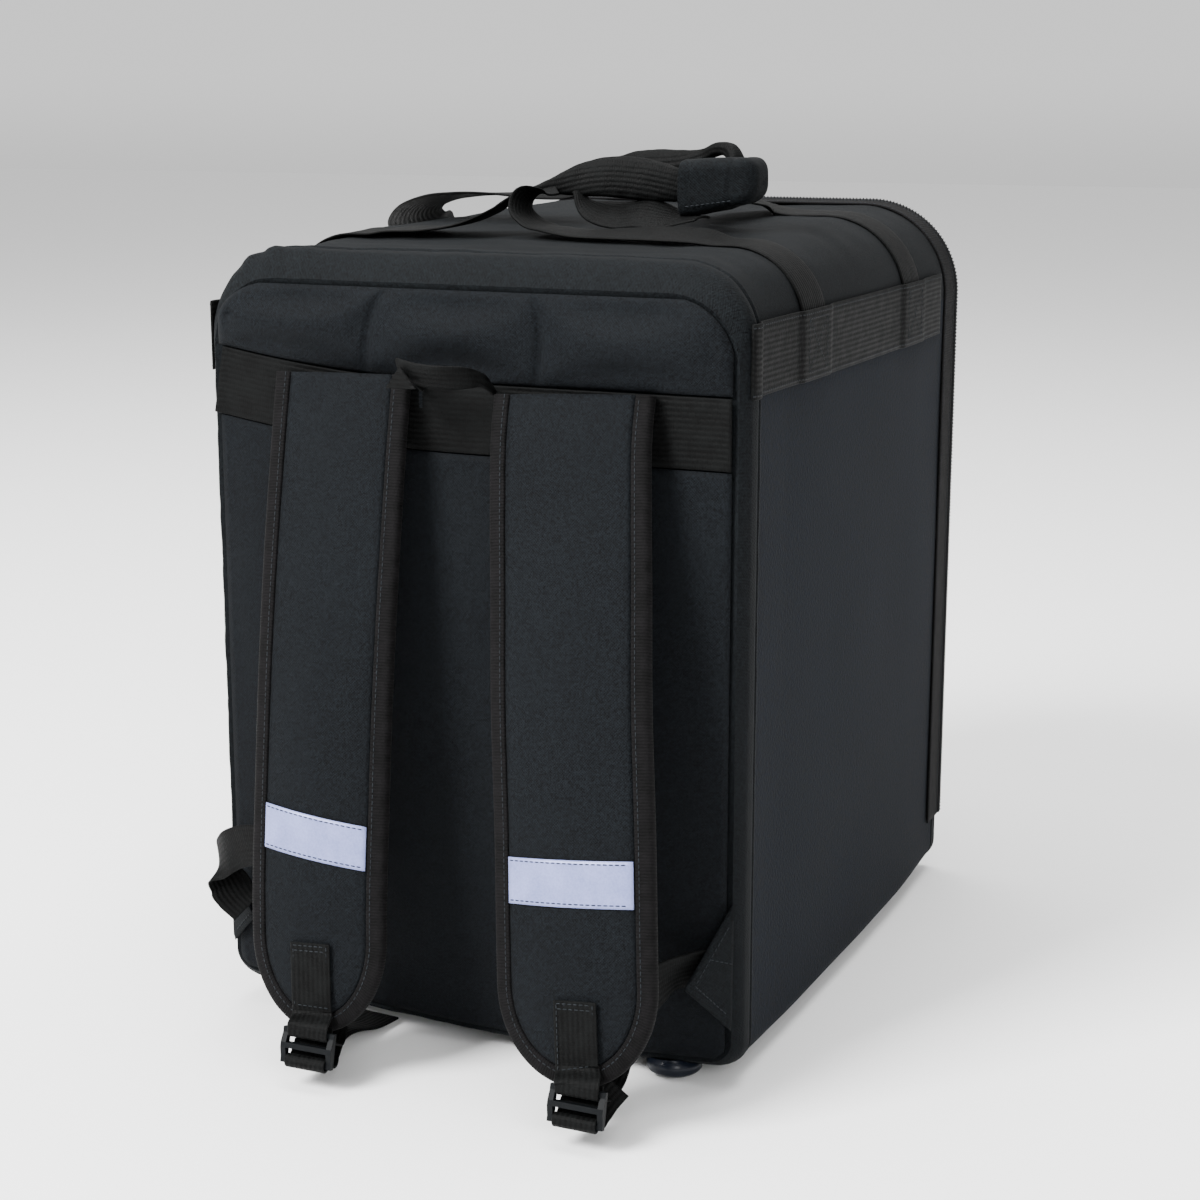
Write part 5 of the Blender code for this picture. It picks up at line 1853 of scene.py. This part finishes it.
@dataclass
class ShoulderStrap:
    """One padded shoulder strap with its binding, reflective tape and lock tab."""

    label: str
    table: Sequence[Sequence[float]]
    lock: Lock
    half: float
    tape_slope: float
    tab_shift: float
    tab_on_strap: float
    tape_from_top: float = 247.0
    binding: float = 10.0
    thick: float = 9.0
    edge_thick: float = 6.0
    tape_width: float = 25.0

    def build(self, finishes: Wardrobe, thread: Thread) -> None:
        """Builds every piece of the strap.

        Args:
            finishes: the bag's finishes.
            thread: takes the stitches.
        """
        self.surface = StrapSurface(self.table, self.half)
        self._pad(finishes)
        self._binding(finishes, thread)
        self._tape(finishes, thread)
        self._tab(finishes, thread)

    def _thick_at(self, u: float) -> float:
        """Thickness of the pad at a share u of its half width."""
        return self.edge_thick + (self.thick - self.edge_thick) * (1 - u**2)

    def _pad(self, finishes: Wardrobe) -> None:
        """The foam pad inside the binding, soft at its edges.

        Args:
            finishes: the bag's finishes.
        """
        surface, inner = self.surface, self.binding + GAP
        us = np.linspace(-1, 1, 31)
        rings, cloth = [], []
        for down in surface.stations(inner, 96, 20, 0.15):
            half = max(surface.half_at(down, inner), 1.0)
            place, side, out, curl = surface.frame(down)
            ring = []
            for sign, values in ((1, us), (-1, us[::-1])):
                for u in values:
                    across = u * half
                    thick = self._thick_at(u) - 1.3 * math.exp(-(((1 - abs(u)) * half / 2.5) ** 2))
                    bow = curl * (1 - (across / surface.half) ** 2)
                    ring.append(place + side * across + out * (sign * thick / 2 + bow))
            rings.append(ring)
            row = np.concatenate([us, us[::-1], us[:1]]) * half
            cloth.append(np.stack([row, np.full(len(row), down)], axis=1))
        grid = np.array(rings)
        m = len(us)
        place = grid * np.array([1.0, 1.0, 0.8])
        dents = 0.55 * grain(place, 38.0, 51.0) + 0.22 * grain(place, 12.0, 52.0)
        fade = 1 - np.abs(np.concatenate([us, us[::-1]])) ** 4
        front = np.concatenate([np.ones(m), -np.ones(m)])
        out_y = np.array([[0.0, -1.0, 0.15]])
        grid += (dents.reshape(grid.shape[:2]) * fade * front)[..., None] * out_y
        piece = Piece("strap_pad_" + self.label)
        piece.tube(grid, np.array(cloth))
        obj = piece.build([finishes.padding], "strap_cloth", ["shoulder_strap_" + self.label])

    def _edge_stations(self) -> list[tuple[float, float, float, float]]:
        """Places of the binding, once down, round and up.

        Returns:
            Down and across of its outer edge, then of its inner edge.
        """
        surface = self.surface
        pairs = []
        for inset in (0.0, self.binding):
            downs = surface.stations(inset, 90, 34, 0.02)
            pairs.append([(down, surface.half_at(down, inset)) for down in downs])
        edge = [(a, wa, b, wb) for (a, wa), (b, wb) in zip(*pairs)]
        tip = (surface.length, 0.0, surface.length - self.binding, 0.0)
        return [(a, -wa, b, -wb) for a, wa, b, wb in edge] + [tip] + edge[::-1]

    def _binding(self, finishes: Wardrobe, thread: Thread) -> None:
        """The folded tape round the strap's edge, with one row of stitches.

        Args:
            finishes: the bag's finishes.
            thread: takes the stitches.
        """
        half, seam_share = self.edge_thick / 2 + 0.6, 0.76
        # Distance in from the edge, then lift, over the front and back along the underside.
        profile = [(10.0, half - 0.5), (9.3, half), (7.0, half + 0.05), (4.0, half + 0.1), (2.2, half * 0.98)]
        profile += [(1.0, half * 0.78), (0.25, half * 0.42), (0.0, 0.0)]
        profile += [(t, -lift) for t, lift in profile[-2::-1]]
        rings, cloth, seam, seam_normals = [], [], [], []
        last, travelled = None, 0.0
        for a, wa, b, wb in self._edge_stations():
            ring = []
            middle = self.surface.at(a, wa, 0.0)
            travelled += 0.0 if last is None else float(np.linalg.norm(middle - last))
            last = middle
            for t, lift in profile:
                share = t / self.binding
                ring.append(self.surface.at(a + (b - a) * share, wa + (wb - wa) * share, lift))
            rings.append(ring)
            row = np.array([t if lift >= 0 else -t for t, lift in profile] + [profile[0][0]])
            cloth.append(np.stack([row, np.full(len(row), travelled)], axis=1))
            down, across = a + (b - a) * seam_share, wa + (wb - wa) * seam_share
            seam.append(self.surface.at(down, across, half + 0.12))
            seam_normals.append(self.surface.frame(min(a, self.surface.length))[2])
        piece = Piece("strap_edge_binding_" + self.label)
        piece.tube(np.array(rings), np.array(cloth))
        piece.build([finishes.binding], "binding_tape", ["strap_binding_" + self.label])
        thread.lay(np.array(seam), np.array(seam_normals))

    def _on_tape(self, row: float, u: float, lift: float) -> np.ndarray:
        """Point of the reflective tape.

        Args:
            row: distance down the strap at its middle.
            u: place across it, from -1 to 1.
            lift: how far off its underside.

        Returns:
            The point.
        """
        across = u * (self.half - self.binding - 2 * GAP)
        thick = self._thick_at(across / (self.half - self.binding - GAP))
        return self.surface.at(row + self.tape_slope * across, across, thick / 2 + GAP + 0.15 + lift)

    def _tape(self, finishes: Wardrobe, thread: Thread) -> None:
        """The reflective tape across the strap, sewn along both edges.

        Args:
            finishes: the bag's finishes.
            thread: takes the stitches.
        """
        thick, seam = 0.6, 1.8
        us = np.linspace(-1, 1, 25)
        downs = np.linspace(self.tape_from_top, self.tape_from_top + self.tape_width, 12)
        top = np.array([[self._on_tape(row, u, thick) for u in us] for row in downs])
        low = np.array([[self._on_tape(row, u, 0.0) for u in us] for row in downs])
        rings = np.concatenate([top, low[:, ::-1]], axis=1)
        row_u = np.concatenate([us, us[::-1], us[:1]])
        cloth = np.zeros((len(downs), len(row_u), 2))
        cloth[:, :, 0] = row_u[None, :] * (self.half - self.binding - 2 * GAP)
        cloth[:, :, 1] = downs[:, None]
        piece = Piece("reflective_band_" + self.label)
        piece.tube(rings, cloth)
        piece.build([finishes.tape], "reflective_tape", ["reflective_strip_" + self.label])
        for row in (downs[0] + seam, downs[-1] - seam):
            line = np.array([self._on_tape(row, u, thick + 0.02) for u in np.linspace(-0.97, 0.97, 40)])
            normals = np.tile(self.surface.frame(row)[2], (len(line), 1))
            thread.lay(line, normals)

    def _tab(self, finishes: Wardrobe, thread: Thread) -> None:
        """The webbing tab sewn on the strap and folded round the lock's bar.

        Args:
            finishes: the bag's finishes.
            thread: takes the stitches.
        """
        surface, lock = self.surface, self.lock
        start = surface.length - self.tab_on_strap
        lift = self.thick / 2 + GAP + WEBBING_THICK / 2 + 0.65
        rows = [surface.at(d, self.tab_shift, lift) for d in np.linspace(start, surface.length - 13.0, 7)]
        bar = -lock.height / 2 + lock.bar / 2
        around = [lock.at(0, bar - 3.0, lock.turn)]
        for degrees in range(90, -91, -30):
            a = math.radians(degrees)
            around.append(lock.at(0, bar + lock.turn * math.cos(a), lock.turn * math.sin(a)))
        around.append(lock.at(0, bar - 4.0, -lock.turn))
        across = surface.at(start, 1.0, 0.0) - surface.at(start, 0.0, 0.0)
        turns = [across] * len(rows) + [lock.width_dir] * len(around)
        table = [(*p, *unit(a)) for p, a in zip(rows + around, turns)]
        band = Band(smooth_rows(table, 150), NARROW_WEBBING)
        band.build("lock_tab_" + self.label, finishes.webbing, "webbing", "strap_tab_" + self.label)
        out = (0, -1, 0)
        face = WEBBING_THICK / 2 * float(np.sign(band.normal[0] @ out))
        # The stitched box, and a second row inside its top: distance along the tab, then across it.
        box = ((1.6, -10.5), (1.6, 10.5), (36.0, 10.5), (36.0, -10.5), (1.6, -10.5))
        for run, steps in ((box, 14), (((4.4, -10.0), (4.4, 10.0)), 12)):
            thread.across([facing(band.spot(along, across, face), out) for along, across in run], steps)


# Lower fittings


# x, y and z of the webbing's middle, then the direction across it
ADJUSTER_RIGHT = (
    (148.5, -11.0, 67.5, -0.50, -0.10, -0.86),
    (141.0, -18.5, 67.5, -0.45, -0.05, -0.88),
    (134.0, -32.0, 65.5, -0.10, 0.0, -1.0),
    (127.0, -44.0, 59.0, 0.15, 0.0, -1.0),
    (121.0, -54.0, 48.0, 0.60, -0.1, -0.75),
    (116.5, -61.0, 33.0, 0.95, 0.0, -0.3),
    (113.5, -67.0, 19.0, 1.0, 0.0, -0.1),
    (111.8, -76.0, 14.0, 1.0, 0.0, -0.05),
)
ADJUSTER_LEFT = (
    (-142.0, -16.5, 61.0, 0.10, 0.0, -1.0),
    (-148.0, -18.0, 67.0, 0.20, 0.0, -1.0),
    (-153.5, -20.5, 77.0, 0.20, 0.0, -1.0),
    (-155.0, -25.0, 88.0, -0.10, 0.0, -1.0),
    (-147.0, -30.0, 98.0, -0.15, 0.0, -1.0),
    (-135.0, -33.0, 105.0, 0.0, 0.0, -1.0),
    (-119.0, -36.0, 108.0, 0.0, 0.0, -1.0),
    (-101.0, -40.0, 100.0, 0.45, 0.0, -1.0),
    (-86.0, -46.0, 78.0, 0.9, 0.0, -0.7),
    (-73.0, -52.5, 50.0, 1.0, 0.0, -0.4),
    (-66.0, -57.0, 30.0, 1.0, 0.0, -0.1),
    (-62.0, -62.0, 17.0, 1.0, 0.0, -0.1),
    (-58.5, -71.0, 13.0, 1.0, 0.0, -0.1),
)
TAIL_RIGHT = (
    (113.5, -86.0, 8.0, 1, 0.1, -0.05),
    (117.0, -80.5, 16.0, 1, 0.3, -0.1),
    (122.0, -75.0, 23.0, 1, 0.5, -0.1),
)
TAIL_LEFT = (
    (-58.5, -78.0, 5.5, 1, 0, -0.08),
    (-68.0, -54.0, 5.5, 1, 0.1, -0.02),
    (-72.0, -30.0, 1.0, 1, 0.0, 0),
    (-69.0, -10.0, -3.8, 1, 0.0, 0),
    (-67.0, 10.0, -5.2, 1, 0, 0),
)


# Top of the sewn side, free tip and bottom of the sewn side: x, y, z
CORNER_RIGHT = ((162.0, -1.7, 103.0), (144.0, -27.0, 60.0), (162.0, -1.7, 29.0))
CORNER_LEFT = ((-161.0, -2.6, 76.0), (-140.0, -11.5, 54.0), (-161.0, -2.6, 32.0))


@dataclass
class CornerTab:
    """A triangular cloth tab sewn into a lower back corner."""

    label: str
    corners: tuple[tuple[float, float, float], ...]
    thick: float = 2.4

    def build(self, finishes: Wardrobe, thread: Thread) -> None:
        """Builds the tab as a soft triangle with stitches along its free edges.

        Args:
            finishes: the bag's finishes.
            thread: takes the stitches.
        """
        a, tip, b = (np.array(c) for c in self.corners)
        rings, cloth, normal = soft_triangle(self.corners, self.thick)
        piece = Piece("corner_gusset_" + self.label)
        piece.tube(rings, cloth)
        obj = piece.build([finishes.polyester], "flap_cloth", ["corner_tab_" + self.label])
        face = normal * self.thick * 0.56
        seam = [p + (a + tip + b - 3 * p) * 0.10 + face for p in (a, tip, b, a + (tip - a) * 0.55)]
        thread.across([(p, normal) for p in seam[:3]], 20)
        thread.across([(seam[3], normal), (a + (b - a) * 0.46 + face, normal)], 14)


@dataclass
class Zip:
    """The zip round the door: tape, coil and one plain slider."""

    low: float = 34.0
    tape_near: float = 383.0
    tape_width: float = 26.0
    under_coil: float = 1.6
    coil_width: float = 4.6
    coil_half: float = 1.95
    coil_rise: float = 1.1
    wire: float = 0.42
    pitch: float = 2.4

    def _path(self, y: float, lift: float) -> np.ndarray:
        """Line up the right side, over the top and down the left.

        Args:
            y: its depth.
            lift: how far it runs off the tub.

        Returns:
            The points.
        """
        half, _, high, top_r, _ = SHAPE.plain(y) + lift * np.array([1, -1, 1, 1, 1])
        heights = np.arange(self.low, high - top_r, 4.0)
        points = [(half, z) for z in heights]
        points += arc(half - top_r, high - top_r, top_r, 0, 30)
        points += arc(top_r - half, high - top_r, top_r, 90, 30)
        points += [(-half, z) for z in heights[::-1]]
        return np.array([(x, y, z) for x, z in points])

    def build(self, frame: dict, finishes: Wardrobe, thread: Thread) -> None:
        """Builds the tape, winds the coil and dresses the slider.

        Args:
            frame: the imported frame.
            finishes: the bag's finishes.
            thread: takes the stitches.
        """
        width = self.tape_width + self.under_coil
        near, far = self._path(self.tape_near, FLAT_LIFT), self._path(self.tape_near + width, FLAT_LIFT)
        band = Band(np.array([(*((a + b) / 2), *unit(b - a)) for a, b in zip(near, far)]), width)
        band.build("zip_tape_band", finishes.binding, "zip_cloth", "zip_tape")
        sign = 1.0 if band.normal[0, 0] > 0 else -1.0
        for offset in (-11.0, 8.5):
            points, normals = band.line(offset, sign * WEBBING_THICK / 2)
            thread.lay(points, normals * sign)
        self._coil(finishes)
        dress_node(frame["nodes"]["zip_slider"], finishes.coil, 1.2)

    def _coil(self, finishes: Wardrobe) -> None:
        """Winds the coil as one fine helix along the door's edge, round a flat core.

        Args:
            finishes: the bag's finishes.
        """
        y = BODY_DEPTH - self.coil_width / 2 - 0.9
        path = self._path(y, GAP + 0.2 + 1.5)
        along = lengths_along(path)
        steps = int(along[-1] / self.pitch * 10)
        places = np.linspace(0, along[-1], steps)
        centre = read_at(places, along, path)
        run = tangents(centre)
        wide = np.array([0.0, 1.0, 0.0])
        rise = np.cross(run, wide) * self.coil_rise
        phase = (2 * math.pi * places / self.pitch)[:, None]
        wire = centre + wide * np.cos(phase) * self.coil_half + rise * np.sin(phase)
        t = tangents(wire)
        a = unit(np.cross(t, run))
        piece = Piece("zip_coil_wire")
        piece.tube(self._round(wire, a * self.wire, np.cross(t, a) * self.wire, 5))
        out = np.cross(tangents(path), wide)
        piece.tube(self._round(path, np.broadcast_to(wide * 1.7, path.shape), out * 0.8, 8))
        piece.build([finishes.coil], "zip_teeth", ["zip_coil"])

    @staticmethod
    def _round(path: np.ndarray, across: np.ndarray, up: np.ndarray, sides: int) -> np.ndarray:
        """Rings of a round or oval cord.

        Args:
            path: its middle.
            across: from the middle to its side, at each point.
            up: from the middle to its top, at each point.
            sides: points on each ring.

        Returns:
            The rings.
        """
        turn = (2 * np.pi * np.arange(sides) / sides)[None, :, None]
        return path[:, None] + across[:, None] * np.cos(turn) + up[:, None] * np.sin(turn)


@dataclass
class Foot:
    """A domed foot whose top follows the tub's underside."""

    label: str
    x: float
    y: float
    radius: float = 16.0
    rim: float = -3.2
    drop: float = 4.8

    def _ring(self, reach: float) -> list[tuple[float, float]]:
        """Points (x, y) round the foot's middle."""
        turns = 2 * np.pi * np.arange(48) / 48
        return [(self.x + reach * math.cos(t), self.y + reach * math.sin(t)) for t in turns]

    def build(self, finishes: Wardrobe) -> None:
        """Fits the foot's top to the tub and turns the dome.

        Args:
            finishes: the bag's finishes.
        """
        grid = []
        for part in (0.3, 0.66, 1.0):
            ring = self._ring(self.radius * part)
            grid.append([(x, y, SHAPE.plain(y)[1] + SHAPE.lift(x, y) - 0.3 - GAP) for x, y in ring])
        for share in np.linspace(0.06, 1.0, 14):
            angle = share * math.pi / 2
            reach = self.radius * (math.cos(angle) ** 0.8 * 0.985 + 0.015)
            z = self.rim - self.drop * math.sin(angle)
            grid.append([(x, y, z) for x, y in self._ring(reach)])
        piece = Piece("foot_dome_" + self.label)
        piece.tube(np.array(grid))
        piece.build([finishes.feet], "foot_rubber", ["foot_" + self.label])


# Studio


@dataclass
class Studio:
    """Pale floor, soft lights and the camera where the photo was taken from."""

    yaw: float = 24.07
    pitch: float = 12.70
    lens: float = 68.0
    eye: tuple[float, float, float] = (574.8, -1103.8, 539.1)
    horizon: float = 1.0
    sky: float = 0.85
    meeting: float = 0.81
    aim: tuple[float, float, float] = (0.0, 0.0, 0.25)
    floor_half: float = 12.0

    def build(self) -> None:
        """Makes the floor, the lights, the world and the camera."""
        self._floor()
        self._world()
        self._light("key_softbox", (-1.3, -2.3, 2.5), 1.3, 360.0)
        self._light("top_softbox", (0.0, 0.3, 2.9), 2.2, 120.0)
        self._light("side_softbox", (1.9, -2.4, 1.5), 1.2, 42.0)
        camera = bpy.data.objects.new("camera", bpy.data.cameras.new("camera"))
        camera.data.lens = self.lens
        camera.data.sensor_width = 36.0
        camera.data.clip_start = 0.05
        camera.location = (np.array(self.eye) - FRAME_ORIGIN) / 1000
        camera.rotation_euler = (math.radians(90 - self.pitch), 0.0, math.radians(self.yaw))
        bpy.context.scene.collection.objects.link(camera)
        bpy.context.scene.camera = camera

    def _floor(self) -> None:
        """A wide matte white sheet."""
        mesh = bpy.data.meshes.new("floor")
        half = self.floor_half
        corners = [(-half, -half, 0), (half, -half, 0), (half, half, 0), (-half, half, 0)]
        mesh.from_pydata(corners, [], [(0, 1, 2, 3)])
        material = blank_material("white_paper_floor")
        tree = material.node_tree
        where = add_node(tree, "ShaderNodeTexCoord")
        tooth = add_node(tree, "ShaderNodeTexNoise", {"Vector": where.outputs["Object"], "Scale": 400.0})
        bump = add_node(
            tree, "ShaderNodeBump", {"Height": tooth.outputs[0], "Strength": 0.05, "Distance": 0.0002}
        )
        shader = add_node(
            tree, "ShaderNodeBsdfPrincipled",
            {"Base Color": linear("#fbfbfb"), "Roughness": 0.9, "Normal": bump.outputs[0]},
        )
        add_node(tree, "ShaderNodeOutputMaterial", {"Surface": shader.outputs[0]})
        mesh.materials.append(material)
        floor = bpy.data.objects.new("floor", mesh)
        bpy.context.scene.collection.objects.link(floor)
        floor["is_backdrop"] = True

    def _world(self) -> None:
        """White light from all round, brightest low down, that meets the floor's far edge in its tone."""
        world = bpy.data.worlds.new("studio")
        world.use_nodes = True
        tree = world.node_tree
        where = add_node(tree, "ShaderNodeTexCoord")
        split = add_node(tree, "ShaderNodeSeparateXYZ", {0: where.outputs["Generated"]})
        height = add_node(tree, "ShaderNodeMath", {0: split.outputs[2]}, operation="ABSOLUTE")
        glow = add_node(
            tree, "ShaderNodeMapRange",
            {
                "Value": height.outputs[0],
                "From Min": 0.03,
                "From Max": 0.14,
                "To Min": self.horizon,
                "To Max": self.sky,
            },
            interpolation_type="SMOOTHSTEP",
        )
        fade = add_node(
            tree, "ShaderNodeMapRange",
            {"Value": split.outputs[2], "From Min": -0.04, "From Max": 0.01, "To Min": self.meeting},
            interpolation_type="SMOOTHSTEP",
        )
        light = add_node(
            tree, "ShaderNodeMath", {0: glow.outputs[0], 1: fade.outputs[0]}, operation="MULTIPLY"
        )
        back = tree.nodes["Background"]
        back.inputs[0].default_value = (1.0, 1.0, 1.0, 1.0)
        tree.links.new(light.outputs[0], back.inputs[1])
        bpy.context.scene.world = world

    def _light(self, name: str, place: tuple[float, float, float], size: float, power: float) -> None:
        """One square softbox that looks at the bag.

        Args:
            name: its name.
            place: where it hangs, in metres.
            size: its edge in metres.
            power: watts.
        """
        lamp = bpy.data.lights.new(name, "AREA")
        lamp.shape = "SQUARE"
        lamp.size = size
        lamp.energy = power
        obj = bpy.data.objects.new(name, lamp)
        obj.location = place
        obj.rotation_euler = (Vector(self.aim) - Vector(place)).to_track_quat("-Z", "Y").to_euler()
        bpy.context.scene.collection.objects.link(obj)


def main(frame: dict) -> None:
    """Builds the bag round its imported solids.
    """
    logging.basicConfig(level=logging.INFO, format="%(name)s: %(message)s")
    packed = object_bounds()
    Studio().build()
    finishes = Wardrobe()
    thread = Thread()
    Tub().build(finishes)
    Door().build(finishes)
    BackPanel().build(finishes, thread)
    for side, label in ((-1, "left"), (1, "right")):
        SideBand(side, label).build(finishes, thread)
    Handles().build(finishes, thread)
    right_lock = Lock("right", (113.0, -99.5, 16.6), 0.06, ADJUSTER_RIGHT, TAIL_RIGHT)
    left_lock = Lock("left", (-55.5, -92.5, 16.6), 0.11, ADJUSTER_LEFT, TAIL_LEFT)
    ShoulderStrap(
        "right", STRAP_RIGHT, right_lock, half=47.0, tape_slope=0.0, tab_shift=3.5, tab_on_strap=48.0
    ).build(finishes, thread)
    ShoulderStrap(
        "left", STRAP_LEFT, left_lock, half=42.5, tape_slope=0.13, tab_shift=0.0, tab_on_strap=52.0
    ).build(finishes, thread)
    for lock in (right_lock, left_lock):
        lock.build(frame, finishes)
    CornerTab("right", CORNER_RIGHT).build(finishes, thread)
    CornerTab("left", CORNER_LEFT).build(finishes, thread)
    Zip().build(frame, finishes, thread)
    for row, y in (("back", 13.0), ("front", BODY_DEPTH - DOOR_THICKNESS - 22.0)):
        for side, x in (("left", -122.5), ("right", 122.5)):
            Foot(row + "_" + side, x, y).build(finishes)
    thread.piece.build([finishes.thread], "strap_cloth")
    LOG.info("%d stitches", thread.sewn)
    plain = lambda box: [[float(v) for v in corner] for corner in box]
    {"cad": plain(packed), "visual": plain(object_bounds())}


if __name__ == "__main__":
    main(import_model())
